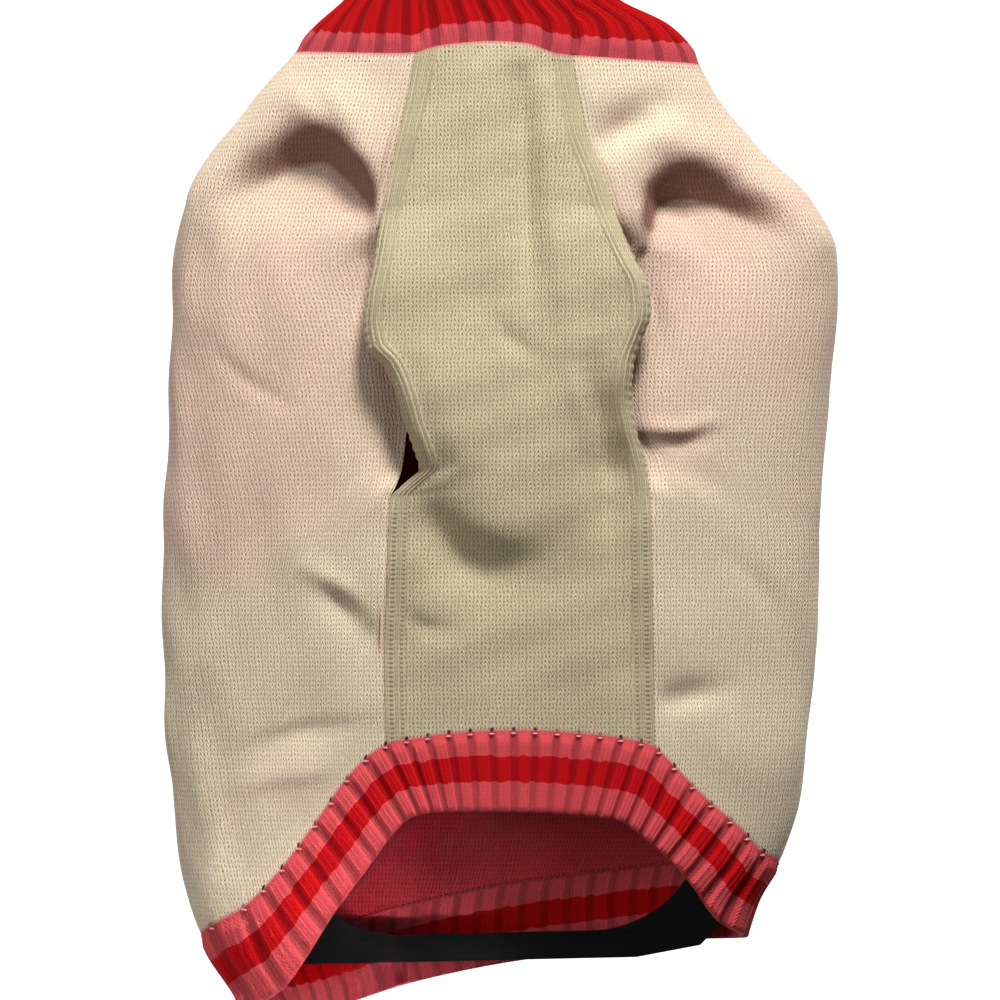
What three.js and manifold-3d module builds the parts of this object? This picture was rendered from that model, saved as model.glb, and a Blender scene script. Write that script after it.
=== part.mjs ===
// A knitted dog sweater on its moulded pet hanger, seen belly side first (-Y), neck up (+Z), in millimetres.
// The belly panel and the wrap-round back panel are walls on one tube of sections. They are sewn edge to edge,
// and the two seams stay open for a stretch at the legs. Ribbed bands finish the neck and the hem.
// The hanger is a flat plate with a window, a rim and a hook, and it fills the sweater out from inside.
// The origin is the top of the hook's throat, where a rail carries it.
import * as THREE from 'three';
import { mergeVertices } from 'three/addons/utils/BufferGeometryUtils.js';
import Module from 'manifold-3d';

// Driving dimensions
const NECK_SEAM_Z = -99;
const BODY_WALL = 2.0;
const RIB_WALL = 1.8;
const RIB_RISE = 0.9;
const SEAM_GAP = 0.3;
const BAND_GAP = 0.5;
const SECTION_POWER = 2.5;
const SECTION_HALF_WIDTH = 105;
const SECTION_HALF_DEPTH = 28;

// Every height is a drop below the neck seam. A section has its outline on the wearer's two sides as seen from
// the belly, and its depth towards the belly and towards the back.
const SECTIONS = [
  { drop: -28, left: -40, right: 24, front: 14.5, back: 14.5 },
  { drop: -22, left: -42.5, right: 28.5, front: 15.5, back: 15 },
  { drop: -15, left: -49, right: 38, front: 17, back: 16.5 },
  { drop: -7.5, left: -57.5, right: 53, front: 19.5, back: 18 },
  { drop: 0, left: -64.5, right: 60.5, front: 22, back: 20 },
  { drop: 16, left: -78.5, right: 69.5, front: 24.5, back: 23 },
  { drop: 32, left: -91, right: 83.5, front: 26.5, back: 25.5 },
  { drop: 47, left: -99.5, right: 98.5, front: 28, back: 27.5 },
  { drop: 63, left: -102.5, right: 106, front: 29, back: 29 },
  { drop: 79, left: -103.5, right: 106.5, front: 29.5, back: 30 },
  { drop: 111, left: -104.5, right: 103.5, front: 30, back: 31 },
  { drop: 142, left: -106, right: 101.5, front: 30, back: 31 },
  { drop: 174, left: -106.5, right: 100.5, front: 29.5, back: 30.5 },
  { drop: 205, left: -106, right: 98.5, front: 28.5, back: 29.5 },
  { drop: 237, left: -103.5, right: 94.5, front: 27, back: 28 },
  { drop: 253, left: -101, right: 89.5, front: 26, back: 27 },
  { drop: 269, left: -98, right: 80.5, front: 25, back: 26 },
  { drop: 284, left: -92, right: 76.5, front: 24, back: 25 },
  { drop: 300, left: -82, right: 75.5, front: 23, back: 24 },
  { drop: 318, left: -77, right: 75, front: 22, back: 23 },
];

// The hem band's stations, from the left side across the belly and round the back. rib counts the ribs up to
// a station. The upper edge is sewn to the panels, and the ribs run square to the band down to the lower edge.
const HEM_RIBS = 59;
const HEM_STATIONS = [
  { rib: 0, side: 'left', topDrop: 279.5, bottomDrop: 305 },
  { rib: 1.8, side: 'belly', topX: -81.2, topDrop: 270, bottomX: -68.6, bottomDrop: 295.5 },
  { rib: 3, side: 'belly', topX: -73.6, topDrop: 263, bottomX: -59.4, bottomDrop: 283 },
  { rib: 5.5, side: 'belly', topX: -60, topDrop: 246, bottomX: -46.8, bottomDrop: 264 },
  { rib: 8.2, side: 'belly', topX: -46.3, topDrop: 227, bottomX: -33.2, bottomDrop: 246 },
  { rib: 9.3, side: 'belly', topX: -39.5, topDrop: 220.6, bottomX: -27.8, bottomDrop: 241 },
  { rib: 10.2, side: 'belly', topX: -33.9, topDrop: 217.6, bottomX: -24, bottomDrop: 239.8 },
  { rib: 11.2, side: 'belly', topX: -27.2, topDrop: 216.4, bottomX: -20, bottomDrop: 239.3 },
  { rib: 13.5, side: 'belly', topX: -12, topDrop: 214.4, bottomX: -9.5, bottomDrop: 239 },
  { rib: 16.2, side: 'belly', topX: 6.3, topDrop: 213.8, bottomX: 6, bottomDrop: 239.2 },
  { rib: 19.4, side: 'belly', topX: 28, topDrop: 215, bottomX: 23.4, bottomDrop: 240.2 },
  { rib: 21.9, side: 'belly', topX: 44.2, topDrop: 217.5, bottomX: 35.4, bottomDrop: 241.6 },
  { rib: 22.6, side: 'belly', topX: 48.5, topDrop: 219, bottomX: 38.6, bottomDrop: 242.6 },
  { rib: 23.4, side: 'belly', topX: 52, topDrop: 222.5, bottomX: 42, bottomDrop: 245 },
  { rib: 25.8, side: 'belly', topX: 65.7, topDrop: 236.4, bottomX: 52.5, bottomDrop: 254 },
  { rib: 27.5, side: 'belly', topX: 75.8, topDrop: 245.2, bottomX: 61.6, bottomDrop: 264.5 },
  { rib: 28.9, side: 'belly', topX: 82.8, topDrop: 252.5, bottomX: 70, bottomDrop: 275 },
  { rib: 30.2, side: 'right', topDrop: 256, bottomDrop: 280 },
  { rib: 34.2, side: 'back', topX: 63, topDrop: 257, bottomX: 60, bottomDrop: 281.5 },
  { rib: 38.6, side: 'back', topX: 32, topDrop: 260, bottomX: 32, bottomDrop: 285 },
  { rib: 43, side: 'back', topX: 0, topDrop: 264.5, bottomX: 0, bottomDrop: 289.5 },
  { rib: 47.6, side: 'back', topX: -32, topDrop: 271.5, bottomX: -30, bottomDrop: 296 },
  { rib: 51.3, side: 'back', topX: -57, topDrop: 278.5, bottomX: -51, bottomDrop: 302.5 },
  { rib: 54.8, side: 'back', topX: -79, topDrop: 283, bottomX: -67, bottomDrop: 306 },
];

// The neck seam steps up over the belly panel and dips towards the right shoulder.
const NECK_STATIONS = [
  { turn: -0.25, drop: 0 }, { turn: -0.1, drop: 1.4 }, { turn: -0.058, drop: -1.2 }, { turn: 0, drop: -2.4 },
  { turn: 0.036, drop: -1.8 }, { turn: 0.074, drop: 1.6 }, { turn: 0.25, drop: 4 }, { turn: 0.5, drop: -4 },
  { turn: 0.75, drop: 0 },
];

const NECK_RIBS = 32;
const NECK_BAND_HEIGHT = 26;

// The belly panel's two edges and the back panel's two edges, as x at each drop. Above and below the leg holes
// a pair shares one seam. Along a hole the belly's edge curls out over the back panel's, which tucks under it.
const EDGES = [
  { drop: 0, bellyLeft: -26, backLeft: -26, bellyRight: 22.5, backRight: 22.5 },
  { drop: 12, bellyLeft: -28.5, backLeft: -28.5, bellyRight: 24.5, backRight: 24.5 },
  { drop: 24, bellyLeft: -31.2, backLeft: -31.2, bellyRight: 26.5, backRight: 26.5 },
  { drop: 38, bellyLeft: -34.5, backLeft: -34.5, bellyRight: 31.5, backRight: 31.5 },
  { drop: 50, bellyLeft: -37.2, backLeft: -37.2, bellyRight: 35.6, backRight: 35.6 },
  { drop: 56, bellyLeft: -38.3, backLeft: -38.7, bellyRight: 38, backRight: 38.4 },
  { drop: 60, bellyLeft: -38.8, backLeft: -38.6, bellyRight: 39.8, backRight: 39.4 },
  { drop: 66, bellyLeft: -39.8, backLeft: -37, bellyRight: 42.6, backRight: 39 },
  { drop: 74, bellyLeft: -41.4, backLeft: -35, bellyRight: 46.2, backRight: 38.6 },
  { drop: 82, bellyLeft: -42.2, backLeft: -33.5, bellyRight: 46.8, backRight: 38.2 },
  { drop: 90, bellyLeft: -41, backLeft: -32.4, bellyRight: 44.4, backRight: 37.6 },
  { drop: 98, bellyLeft: -36, backLeft: -31.4, bellyRight: 41.8, backRight: 37 },
  { drop: 108, bellyLeft: -32.2, backLeft: -30.4, bellyRight: 41, backRight: 36.8 },
  { drop: 118, bellyLeft: -29.6, backLeft: -29.6, bellyRight: 42.6, backRight: 38.6 },
  { drop: 126, bellyLeft: -27, backLeft: -30.2, bellyRight: 45, backRight: 45.4 },
  { drop: 132, bellyLeft: -25.4, backLeft: -31, bellyRight: 46.6, backRight: 46.6 },
  { drop: 136.5, bellyLeft: -30.5, backLeft: -32.6, bellyRight: 47, backRight: 47 },
  { drop: 140, bellyLeft: -34.4, backLeft: -34.4, bellyRight: 47.3, backRight: 47.3 },
  { drop: 150, bellyLeft: -35, backLeft: -35, bellyRight: 47.5, backRight: 47.5 },
  { drop: 170, bellyLeft: -35.6, backLeft: -35.6, bellyRight: 47.8, backRight: 47.8 },
  { drop: 190, bellyLeft: -36.2, backLeft: -36.2, bellyRight: 48.2, backRight: 48.2 },
  { drop: 218, bellyLeft: -35.6, backLeft: -35.6, bellyRight: 48.8, backRight: 48.8 },
];

// How far each edge stands out of the tube along the leg holes.
const EDGE_LIFTS = [
  { drop: 50, bellyLeft: 0, backLeft: 0, bellyRight: 0, backRight: 0 },
  { drop: 60, bellyLeft: 2.8, backLeft: -2, bellyRight: 2.8, backRight: -2 },
  { drop: 74, bellyLeft: 6.5, backLeft: -4, bellyRight: 6, backRight: -4 },
  { drop: 98, bellyLeft: 7.5, backLeft: -5, bellyRight: 5.8, backRight: -4.4 },
  { drop: 118, bellyLeft: 6, backLeft: -4, bellyRight: 3.2, backRight: -3 },
  { drop: 126, bellyLeft: 4.4, backLeft: -3, bellyRight: 1.4, backRight: -1.8 },
  { drop: 133, bellyLeft: 2.4, backLeft: -1.2, bellyRight: 0, backRight: 0 },
  { drop: 140, bellyLeft: 0, backLeft: 0, bellyRight: 0, backRight: 0 },
];
// A lifted edge settles back on the tube this far into its panel.
const BELLY_LIFT_REACH = 0.42;
const BACK_LIFT_REACH = 0.09;

// The main creases and swells, each along a line of points in the front view. rise is outward, so a crease has
// a negative one. A line runs from left to right or from top to bottom. above is its spread on the left hand
// of that run, and below its spread on the right hand.
const FOLDS = {
  belly: [
    { name: 'chest swell', above: [34, 34], below: [30, 30], points: [
      { x: -4, drop: 78, rise: 2 }, { x: -6, drop: 110, rise: 4.5 }, { x: -6, drop: 135, rise: 4 }] },
    { name: 'overhang under the left leg hole', above: [8, 8], below: [11, 11], points: [
      { x: -25, drop: 139, rise: -1.5 }, { x: -21, drop: 149, rise: -4.5 }, { x: -12, drop: 158, rise: -5.2 },
      { x: 2, drop: 163, rise: -4 }, { x: 18, drop: 161, rise: -1 }] },
    { name: 'gather below the neck', above: [4, 4], below: [5.5, 5.5], points: [
      { x: 6, drop: 8, rise: -1.5 }, { x: 7.5, drop: 26, rise: -3.6 }, { x: 8.5, drop: 55, rise: -3.6 },
      { x: 9, drop: 80, rise: -1 }] },
    { name: 'swell beside the gather', above: [6, 6], below: [4, 4], points: [
      { x: 14.5, drop: 12, rise: 1 }, { x: 16, drop: 34, rise: 2 }, { x: 18, drop: 66, rise: 1.7 },
      { x: 22, drop: 92, rise: 0.5 }] },
    { name: 'trough beside the right leg hole', above: [7, 7], below: [4.5, 4.5], points: [
      { x: 28.5, drop: 90, rise: -1 }, { x: 31, drop: 114, rise: -4.8 }, { x: 34, drop: 136, rise: -4.4 },
      { x: 38, drop: 165, rise: -2 }, { x: 42, drop: 192, rise: -0.7 }] },
  ],
  back: [
    { name: 'overhang of the left shoulder', above: [10, 4.5], below: [26, 14], points: [
      { x: -95, drop: 53, rise: -1 }, { x: -88, drop: 48, rise: -3.5 }, { x: -80, drop: 44, rise: -6.5 },
      { x: -71.5, drop: 39.5, rise: -9 }, { x: -63.5, drop: 35.3, rise: -10 }, { x: -57, drop: 34, rise: -10 },
      { x: -50.5, drop: 39, rise: -10 }, { x: -44.5, drop: 47.5, rise: -8.5 },
      { x: -39.8, drop: 55.6, rise: -4.5 }] },
    { name: 'swell of the left shoulder', above: [10, 10], below: [8, 8], points: [
      { x: -66, drop: 14, rise: 1.5 }, { x: -55, drop: 21, rise: 3.5 }, { x: -45, drop: 33, rise: 3.5 },
      { x: -38, drop: 44, rise: 2 }] },
    { name: 'overhang of the right shoulder', above: [4.5, 10], below: [14, 26], points: [
      { x: 48.5, drop: 60, rise: -3 }, { x: 50, drop: 53, rise: -7.5 }, { x: 53, drop: 47, rise: -10 },
      { x: 59, drop: 45, rise: -11 }, { x: 66, drop: 46.5, rise: -10 }, { x: 74, drop: 51, rise: -9 },
      { x: 83, drop: 56, rise: -6.5 }, { x: 91, drop: 61, rise: -3.5 }, { x: 98, drop: 66, rise: -1 }] },
    { name: 'swell of the right shoulder', above: [8, 8], below: [7, 7], points: [
      { x: 46, drop: 24, rise: 0.8 }, { x: 53, drop: 28, rise: 2.4 }, { x: 60, drop: 32, rise: 2.2 },
      { x: 68, drop: 34, rise: 1 }] },
    { name: 'crease under the right neck', above: [5, 5], below: [5, 5], points: [
      { x: 32, drop: 30, rise: -1.6 }, { x: 41, drop: 24, rise: -3 }, { x: 50, drop: 19, rise: -1.6 }] },
    { name: 'crease below the left leg hole', above: [3.5, 3.5], below: [6, 6], points: [
      { x: -58, drop: 168, rise: -0.4 }, { x: -48, drop: 175, rise: -2 }, { x: -41, drop: 184, rise: -1 }] },
    { name: 'crease above the right hem', above: [5, 5], below: [4, 4], points: [
      { x: 50, drop: 206, rise: -1 }, { x: 59, drop: 203, rise: -1.8 }, { x: 70, drop: 201, rise: -0.6 }] },
  ],
  reverse: [
    { name: 'left shoulder droop behind', above: [13, 13], below: [8, 8], points: [
      { x: -84, drop: 52, rise: -1 }, { x: -66, drop: 46, rise: -4.5 }, { x: -44, drop: 52, rise: -1 }] },
    { name: 'right shoulder droop behind', above: [13, 13], below: [8, 8], points: [
      { x: 88, drop: 58, rise: -1 }, { x: 70, drop: 50, rise: -5 }, { x: 46, drop: 58, rise: -1 }] },
    { name: 'diagonal pull across the back', above: [12, 12], below: [12, 12], points: [
      { x: -52, drop: 214, rise: -1 }, { x: -14, drop: 190, rise: -3 }, { x: 30, drop: 172, rise: -1 }] },
  ],
};

// The hanger
const HANGER_RIM_DEPTH = 6;
const HANGER_RIM_WIDTH = 7;
const HANGER_WEB = 2.2;
const HANGER_RIDGE = 0.9;
const RIDGE_WIDTH = 1.2;
const HANGER_CLEARANCE = 1.35;
const HANGER_BOTTOM_DROP = 286.8;
const HANGER_LEAN = 0.022;
const HANGER_CORNER = 9;
const HANGER_SWEEP = 30;
const WINDOW_CORNER = 36;
const HOOK_THICKNESS = 5;
const HOOK_THROAT = 17;
const HOOK_TIP_DEG = 205;

const COLOURS = {
  belly: 0xd6c9a4,
  body: 0xe0c8b2,
  neck: 0xc8141c,
  hem: 0xd2474f,
  hanger: 0x111010,
};

// Monotone cubic interpolation of one column of a table against another
function column(rows, along, key) {
  const at = rows.map((row) => row[along]);
  const value = rows.map((row) => row[key]);
  const slope = at.slice(1).map((a, i) => (value[i + 1] - value[i]) / (a - at[i]));
  const tangent = at.map((a, i) => {
    if (i === 0) return slope[0];
    if (i === at.length - 1) return slope[i - 1];
    const before = slope[i - 1];
    const after = slope[i];
    return before * after <= 0 ? 0 : (2 * before * after) / (before + after);
  });
  return (query) => {
    const x = Math.min(Math.max(query, at[0]), at[at.length - 1]);
    let i = 0;
    while (i < at.length - 2 && x > at[i + 1]) i += 1;
    const span = at[i + 1] - at[i];
    const t = (x - at[i]) / span;
    const u = 1 - t;
    return u * u * (1 + 2 * t) * value[i] + t * u * u * span * tangent[i]
      + t * t * (3 - 2 * t) * value[i + 1] - t * t * u * span * tangent[i + 1];
  };
}

const smoothstep = (low, high, x) => THREE.MathUtils.smoothstep(x, low, high);
const lerp = THREE.MathUtils.lerp;

// The unit section: a rounded oblong walked at even steps from the belly's middle towards the right side.
// Its turn is 0 at the belly, 0.25 at the right side, 0.5 at the back and 0.75 at the left side.
const SECTION_STEPS = 1440;
const unitSection = (() => {
  const points = [];
  for (let i = 0; i <= SECTION_STEPS; i += 1) {
    const angle = (i / SECTION_STEPS) * 2 * Math.PI;
    const across = Math.sin(angle);
    const ahead = -Math.cos(angle);
    const power = 2 / SECTION_POWER;
    points.push([Math.sign(across) * Math.abs(across) ** power, Math.sign(ahead) * Math.abs(ahead) ** power]);
  }
  const length = [0];
  for (let i = 1; i < points.length; i += 1) {
    const dx = (points[i][0] - points[i - 1][0]) * SECTION_HALF_WIDTH;
    const dy = (points[i][1] - points[i - 1][1]) * SECTION_HALF_DEPTH;
    length.push(length[i - 1] + Math.hypot(dx, dy));
  }
  const whole = length[length.length - 1];
  return (turn) => {
    const target = (turn - Math.floor(turn)) * whole;
    let low = 0;
    let high = points.length - 1;
    while (high - low > 1) {
      const middle = (low + high) >> 1;
      if (length[middle] <= target) low = middle;
      else high = middle;
    }
    const t = (target - length[low]) / (length[high] - length[low]);
    return [lerp(points[low][0], points[high][0], t), lerp(points[low][1], points[high][1], t)];
  };
})();

const sectionColumn = Object.fromEntries(
  ['left', 'right', 'front', 'back'].map((key) => [key, column(SECTIONS, 'drop', key)]),
);

function tubePoint(turn, drop) {
  const [across, ahead] = unitSection(turn);
  const left = sectionColumn.left(drop);
  const right = sectionColumn.right(drop);
  const depth = ahead < 0 ? sectionColumn.front(drop) : sectionColumn.back(drop);
  const x = (left + right) / 2 + ((right - left) / 2) * across;
  return new THREE.Vector3(x, depth * ahead, NECK_SEAM_Z - drop);
}

const NORMAL_TURN_STEP = 0.004;
const NORMAL_DROP_STEP = 1.5;
function tubeNormal(turn, drop) {
  const along = tubePoint(turn + NORMAL_TURN_STEP, drop).sub(tubePoint(turn - NORMAL_TURN_STEP, drop));
  const down = tubePoint(turn, drop + NORMAL_DROP_STEP).sub(tubePoint(turn, drop - NORMAL_DROP_STEP));
  return down.cross(along).normalize();
}

// The turn on the belly side, or on the back, where the tube has a given x.
function turnAt(x, drop, side) {
  if (side === 'left') return -0.25;
  if (side === 'right') return 0.25;
  let low = side === 'belly' ? -0.25 : 0.25;
  let high = side === 'belly' ? 0.25 : 0.75;
  const rising = side === 'belly';
  for (let i = 0; i < 40; i += 1) {
    const middle = (low + high) / 2;
    if ((tubePoint(middle, drop).x < x) === rising) low = middle;
    else high = middle;
  }
  return (low + high) / 2;
}

// The hem's two edges as turn and drop at each rib, closed on themselves
const hemEdge = (() => {
  const rows = HEM_STATIONS.map((station) => ({
    rib: station.rib,
    topTurn: turnAt(station.topX, station.topDrop, station.side),
    bottomTurn: turnAt(station.bottomX, station.bottomDrop, station.side),
    topDrop: station.topDrop,
    bottomDrop: station.bottomDrop,
  }));
  const moved = (row, laps) => ({
    ...row, rib: row.rib + laps * HEM_RIBS, topTurn: row.topTurn + laps, bottomTurn: row.bottomTurn + laps,
  });
  const closed = [moved(rows[rows.length - 1], -1), ...rows, moved(rows[0], 1), moved(rows[1], 1)];
  return Object.fromEntries(
    ['topTurn', 'topDrop', 'bottomTurn', 'bottomDrop'].map((key) => [key, column(closed, 'rib', key)]),
  );
})();

// The drop of the hem seam at a turn, found through the rib that crosses it
const hemSeamDrop = (() => {
  const rows = [];
  for (let rib = 0; rib <= HEM_RIBS; rib += 0.25) {
    rows.push({ turn: hemEdge.topTurn(rib), drop: hemEdge.topDrop(rib) });
  }
  const table = column(rows, 'turn', 'drop');
  return (turn) => table(turn < -0.25 ? turn + 1 : turn > 0.75 ? turn - 1 : turn);
})();

const neckSeamDrop = (() => {
  const table = column(NECK_STATIONS, 'turn', 'drop');
  return (turn) => table(turn < -0.25 ? turn + 1 : turn > 0.75 ? turn - 1 : turn);
})();

// How far a family of folds moves the cloth at a point of the front view. above is the spread on the left hand of
// a fold's run and below the spread on its right hand, each at the start of the run and at its end.
const FOLD_SAMPLES = 32;
const FOLD_BLEND = 0.5;
const FOLD_FOCUS = 4;
const foldLines = (folds) => folds.map((fold) => {
  const curve = new THREE.CatmullRomCurve3(fold.points.map((p) => new THREE.Vector3(p.x, -p.drop, p.rise)));
  return { above: fold.above, below: fold.below, samples: curve.getPoints(FOLD_SAMPLES) };
});
const FOLD_LINES = Object.fromEntries(Object.entries(FOLDS).map(([key, folds]) => [key, foldLines(folds)]));

function foldRise(lines, x, drop) {
  let rise = 0;
  for (const { above, below, samples } of lines) {
    let weights = 0;
    let total = 0;
    for (let i = 1; i < samples.length; i += 1) {
      const a = samples[i - 1];
      const b = samples[i];
      const dx = b.x - a.x;
      const dy = b.y - a.y;
      const t = THREE.MathUtils.clamp(((x - a.x) * dx + (-drop - a.y) * dy) / (dx * dx + dy * dy), 0, 1);
      const px = x - a.x - t * dx;
      const py = -drop - a.y - t * dy;
      const distance = Math.max(Math.hypot(px, py), 1e-6);
      const side = (dx * py - dy * px) / (distance * Math.hypot(dx, dy));
      const along = i / samples.length;
      const spread = lerp(lerp(...below, along), lerp(...above, along), (1 + side) / 2);
      const weight = (distance ** 2 + FOLD_BLEND) ** -FOLD_FOCUS;
      weights += weight;
      total += weight * lerp(a.z, b.z, t) * Math.exp(-((distance / spread) ** 2));
    }
    rise += total / weights;
  }
  return rise;
}

// A closed wall through a grid of outer and inner points. around joins the last column to the first.
function wallGeometry(outer, inner, around) {
  const rows = outer.length;
  const columns = outer[0].length;
  const position = [];
  const index = [];
  for (const grid of [outer, inner]) {
    for (const row of grid) for (const p of row) position.push(p.x, p.y, p.z);
  }
  const id = (layer, row, col) => (layer * rows + row) * columns + (col % columns);
  const quad = (a, b, c, d) => index.push(a, b, c, a, c, d);
  const spans = around ? columns : columns - 1;
  for (let row = 0; row < rows - 1; row += 1) {
    for (let col = 0; col < spans; col += 1) {
      quad(id(0, row, col), id(0, row + 1, col), id(0, row + 1, col + 1), id(0, row, col + 1));
      quad(id(1, row, col), id(1, row, col + 1), id(1, row + 1, col + 1), id(1, row + 1, col));
    }
  }
  for (let col = 0; col < spans; col += 1) {
    quad(id(0, 0, col), id(0, 0, col + 1), id(1, 0, col + 1), id(1, 0, col));
    quad(id(0, rows - 1, col), id(1, rows - 1, col), id(1, rows - 1, col + 1), id(0, rows - 1, col + 1));
  }
  if (!around) {
    for (let row = 0; row < rows - 1; row += 1) {
      quad(id(0, row, 0), id(1, row, 0), id(1, row + 1, 0), id(0, row + 1, 0));
      const end = columns - 1;
      quad(id(0, row, end), id(0, row + 1, end), id(1, row + 1, end), id(1, row, end));
    }
  }
  const geometry = new THREE.BufferGeometry();
  geometry.setAttribute('position', new THREE.Float32BufferAttribute(position, 3));
  geometry.setIndex(index);
  return geometry;
}

// A wall over a grid of turn, drop and rise, its inner face square to the tube under it
function tubeWall(grid, thickness, around) {
  const outer = grid.map((row) => row.map(({ turn, drop, rise }) => (
    tubePoint(turn, drop).addScaledVector(tubeNormal(turn, drop), rise))));
  const inner = grid.map((row) => row.map(({ turn, drop, innerRise }) => (
    tubePoint(turn, drop).addScaledVector(tubeNormal(turn, drop), innerRise - thickness))));
  return wallGeometry(outer, inner, around);
}

const edgeX = Object.fromEntries(
  ['bellyLeft', 'backLeft', 'bellyRight', 'backRight'].map((key) => [key, column(EDGES, 'drop', key)]),
);
const edgeLift = Object.fromEntries(
  ['bellyLeft', 'backLeft', 'bellyRight', 'backRight'].map((key) => [key, column(EDGE_LIFTS, 'drop', key)]),
);

// Both panels use these rows, so that their seams match. They are closest at the shoulder folds and leg holes.
const PANEL_ROWS = [0, 7, 14, 20, 24, 28, 31.5, 35, 38.5, 42, 46, 50, 55, 60, 66, 74, 83, 93, 103, 113, 121,
  127, 132, 136.5, 141, 151, 163, 176, 190, 203, 216];
const LAST_ROW = PANEL_ROWS[PANEL_ROWS.length - 1];

// The drop of a panel row at a turn, between the neck seam and the hem seam
function rowDropAt(rowDrop, turn) {
  const top = neckSeamDrop(turn) + BAND_GAP / 2;
  const bottom = hemSeamDrop(turn) - BAND_GAP / 2;
  return lerp(top, bottom, rowDrop / LAST_ROW);
}

// Folds fade out where a panel is sewn to the neck and hem bands.
function sewnFade(turn, drop) {
  return smoothstep(0, 14, drop - neckSeamDrop(turn)) * smoothstep(0, 20, hemSeamDrop(turn) - drop);
}

// The belly panel, sewn at the neck, down both sides and to the hem band
const BELLY_COLUMNS = 16;
function bellyPanel() {
  const grid = PANEL_ROWS.map((rowDrop) => {
    const row = [];
    for (let i = 0; i <= BELLY_COLUMNS; i += 1) {
      const share = i / BELLY_COLUMNS;
      const left = edgeX.bellyLeft(rowDrop) + SEAM_GAP / 2;
      const right = edgeX.bellyRight(rowDrop) - SEAM_GAP / 2;
      const x = lerp(left, right, share);
      const turn = turnAt(x, rowDrop, 'belly');
      const drop = rowDropAt(rowDrop, turn);
      const lift = edgeLift.bellyLeft(rowDrop) * (1 - smoothstep(0, BELLY_LIFT_REACH, share))
        + edgeLift.bellyRight(rowDrop) * (1 - smoothstep(0, BELLY_LIFT_REACH, 1 - share));
      const inside = smoothstep(0, 0.2, share) * smoothstep(0, 0.2, 1 - share);
      const rise = lift + foldRise(FOLD_LINES.belly, x, drop) * sewnFade(turn, drop) * inside;
      row.push({ turn, drop, rise, innerRise: rise });
    }
    return row;
  });
  return tubeWall(grid, BODY_WALL, false);
}

// The back panel, one piece that wraps from the right seam round the back to the left seam. Its columns stand
// closest on the two front stretches and the rounded sides.
const BACK_STRETCHES = [
  { upTo: 0.155, columns: 14 }, { upTo: 0.26, columns: 6 }, { upTo: 0.74, columns: 13 },
  { upTo: 0.845, columns: 6 }, { upTo: 1, columns: 14 },
];
function backPanel() {
  const shares = [0];
  for (const { upTo, columns } of BACK_STRETCHES) {
    const from = shares[shares.length - 1];
    for (let i = 1; i <= columns; i += 1) shares.push(lerp(from, upTo, i / columns));
  }
  const grid = PANEL_ROWS.map((rowDrop) => {
    const first = turnAt(edgeX.backRight(rowDrop) + SEAM_GAP / 2, rowDrop, 'belly');
    const last = 1 + turnAt(edgeX.backLeft(rowDrop) - SEAM_GAP / 2, rowDrop, 'belly');
    return shares.map((share) => {
      const turn = lerp(first, last, share);
      const drop = rowDropAt(rowDrop, turn);
      const { x } = tubePoint(turn, drop);
      const facing = -unitSection(turn)[1];
      const lift = edgeLift.backRight(rowDrop) * (1 - smoothstep(0, BACK_LIFT_REACH, share))
        + edgeLift.backLeft(rowDrop) * (1 - smoothstep(0, BACK_LIFT_REACH, 1 - share));
      const inside = smoothstep(0, 0.03, share) * smoothstep(0, 0.03, 1 - share);
      const front = foldRise(FOLD_LINES.back, x, drop) * smoothstep(0.25, 0.75, facing) * inside;
      const reverse = foldRise(FOLD_LINES.reverse, x, drop) * smoothstep(0.25, 0.75, -facing);
      const rise = lift + (front + reverse) * sewnFade(turn, drop);
      return { turn, drop, rise, innerRise: rise };
    });
  });
  return tubeWall(grid, BODY_WALL, false);
}

// A rib's outline across one pitch: a raised run of wales, then the sunken purl gutter
const RIB_PROFILE = [
  { phase: 0, raised: 0 }, { phase: 0.16, raised: 1 }, { phase: 0.62, raised: 1 }, { phase: 0.78, raised: 0 },
];

function ribbedBand(ribs, rows, pointAt) {
  const grid = rows.map((share) => {
    const row = [];
    for (let rib = 0; rib < ribs; rib += 1) {
      for (const { phase, raised } of RIB_PROFILE) {
        row.push({ ...pointAt(rib + phase, share), rise: raised * RIB_RISE, innerRise: 0 });
      }
    }
    return row;
  });
  return tubeWall(grid, RIB_WALL, true);
}

// The neck band leans in from the shoulders to the open neck
function neckBand() {
  return ribbedBand(NECK_RIBS, [0, 0.3, 0.65, 1], (rib, share) => ({
    turn: rib / NECK_RIBS,
    drop: lerp(-NECK_BAND_HEIGHT, neckSeamDrop(rib / NECK_RIBS) - BAND_GAP / 2, share),
  }));
}

// The hem band follows the belly's arched cut-away and hangs lower across the back
function hemBand() {
  return ribbedBand(HEM_RIBS, [0, 0.5, 1], (rib, share) => ({
    turn: lerp(hemEdge.topTurn(rib), hemEdge.bottomTurn(rib), share),
    drop: lerp(hemEdge.topDrop(rib) + BAND_GAP / 2, hemEdge.bottomDrop(rib), share),
  }));
}

// One side of the hanger's outline, from the hook's stem over the shoulder to the bottom corner. Its shoulder
// lies just inside the sweater's side, and lower down it draws in to the narrower foot.
const HANGER_SIDE = [
  { drop: 24, inset: 1.6 }, { drop: 36, inset: 0.6 }, { drop: 48, inset: 0.3 }, { drop: 62, inset: 0 },
  { drop: 79, inset: 0.6 }, { drop: 111, inset: 4 }, { drop: 158, inset: 10 }, { drop: 205, inset: 16 },
  { drop: 240, inset: 19 },
];
const HANGER_FOOT = { left: -75, right: 73 };
const NECK_HALF_WIDTH = 6;

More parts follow.
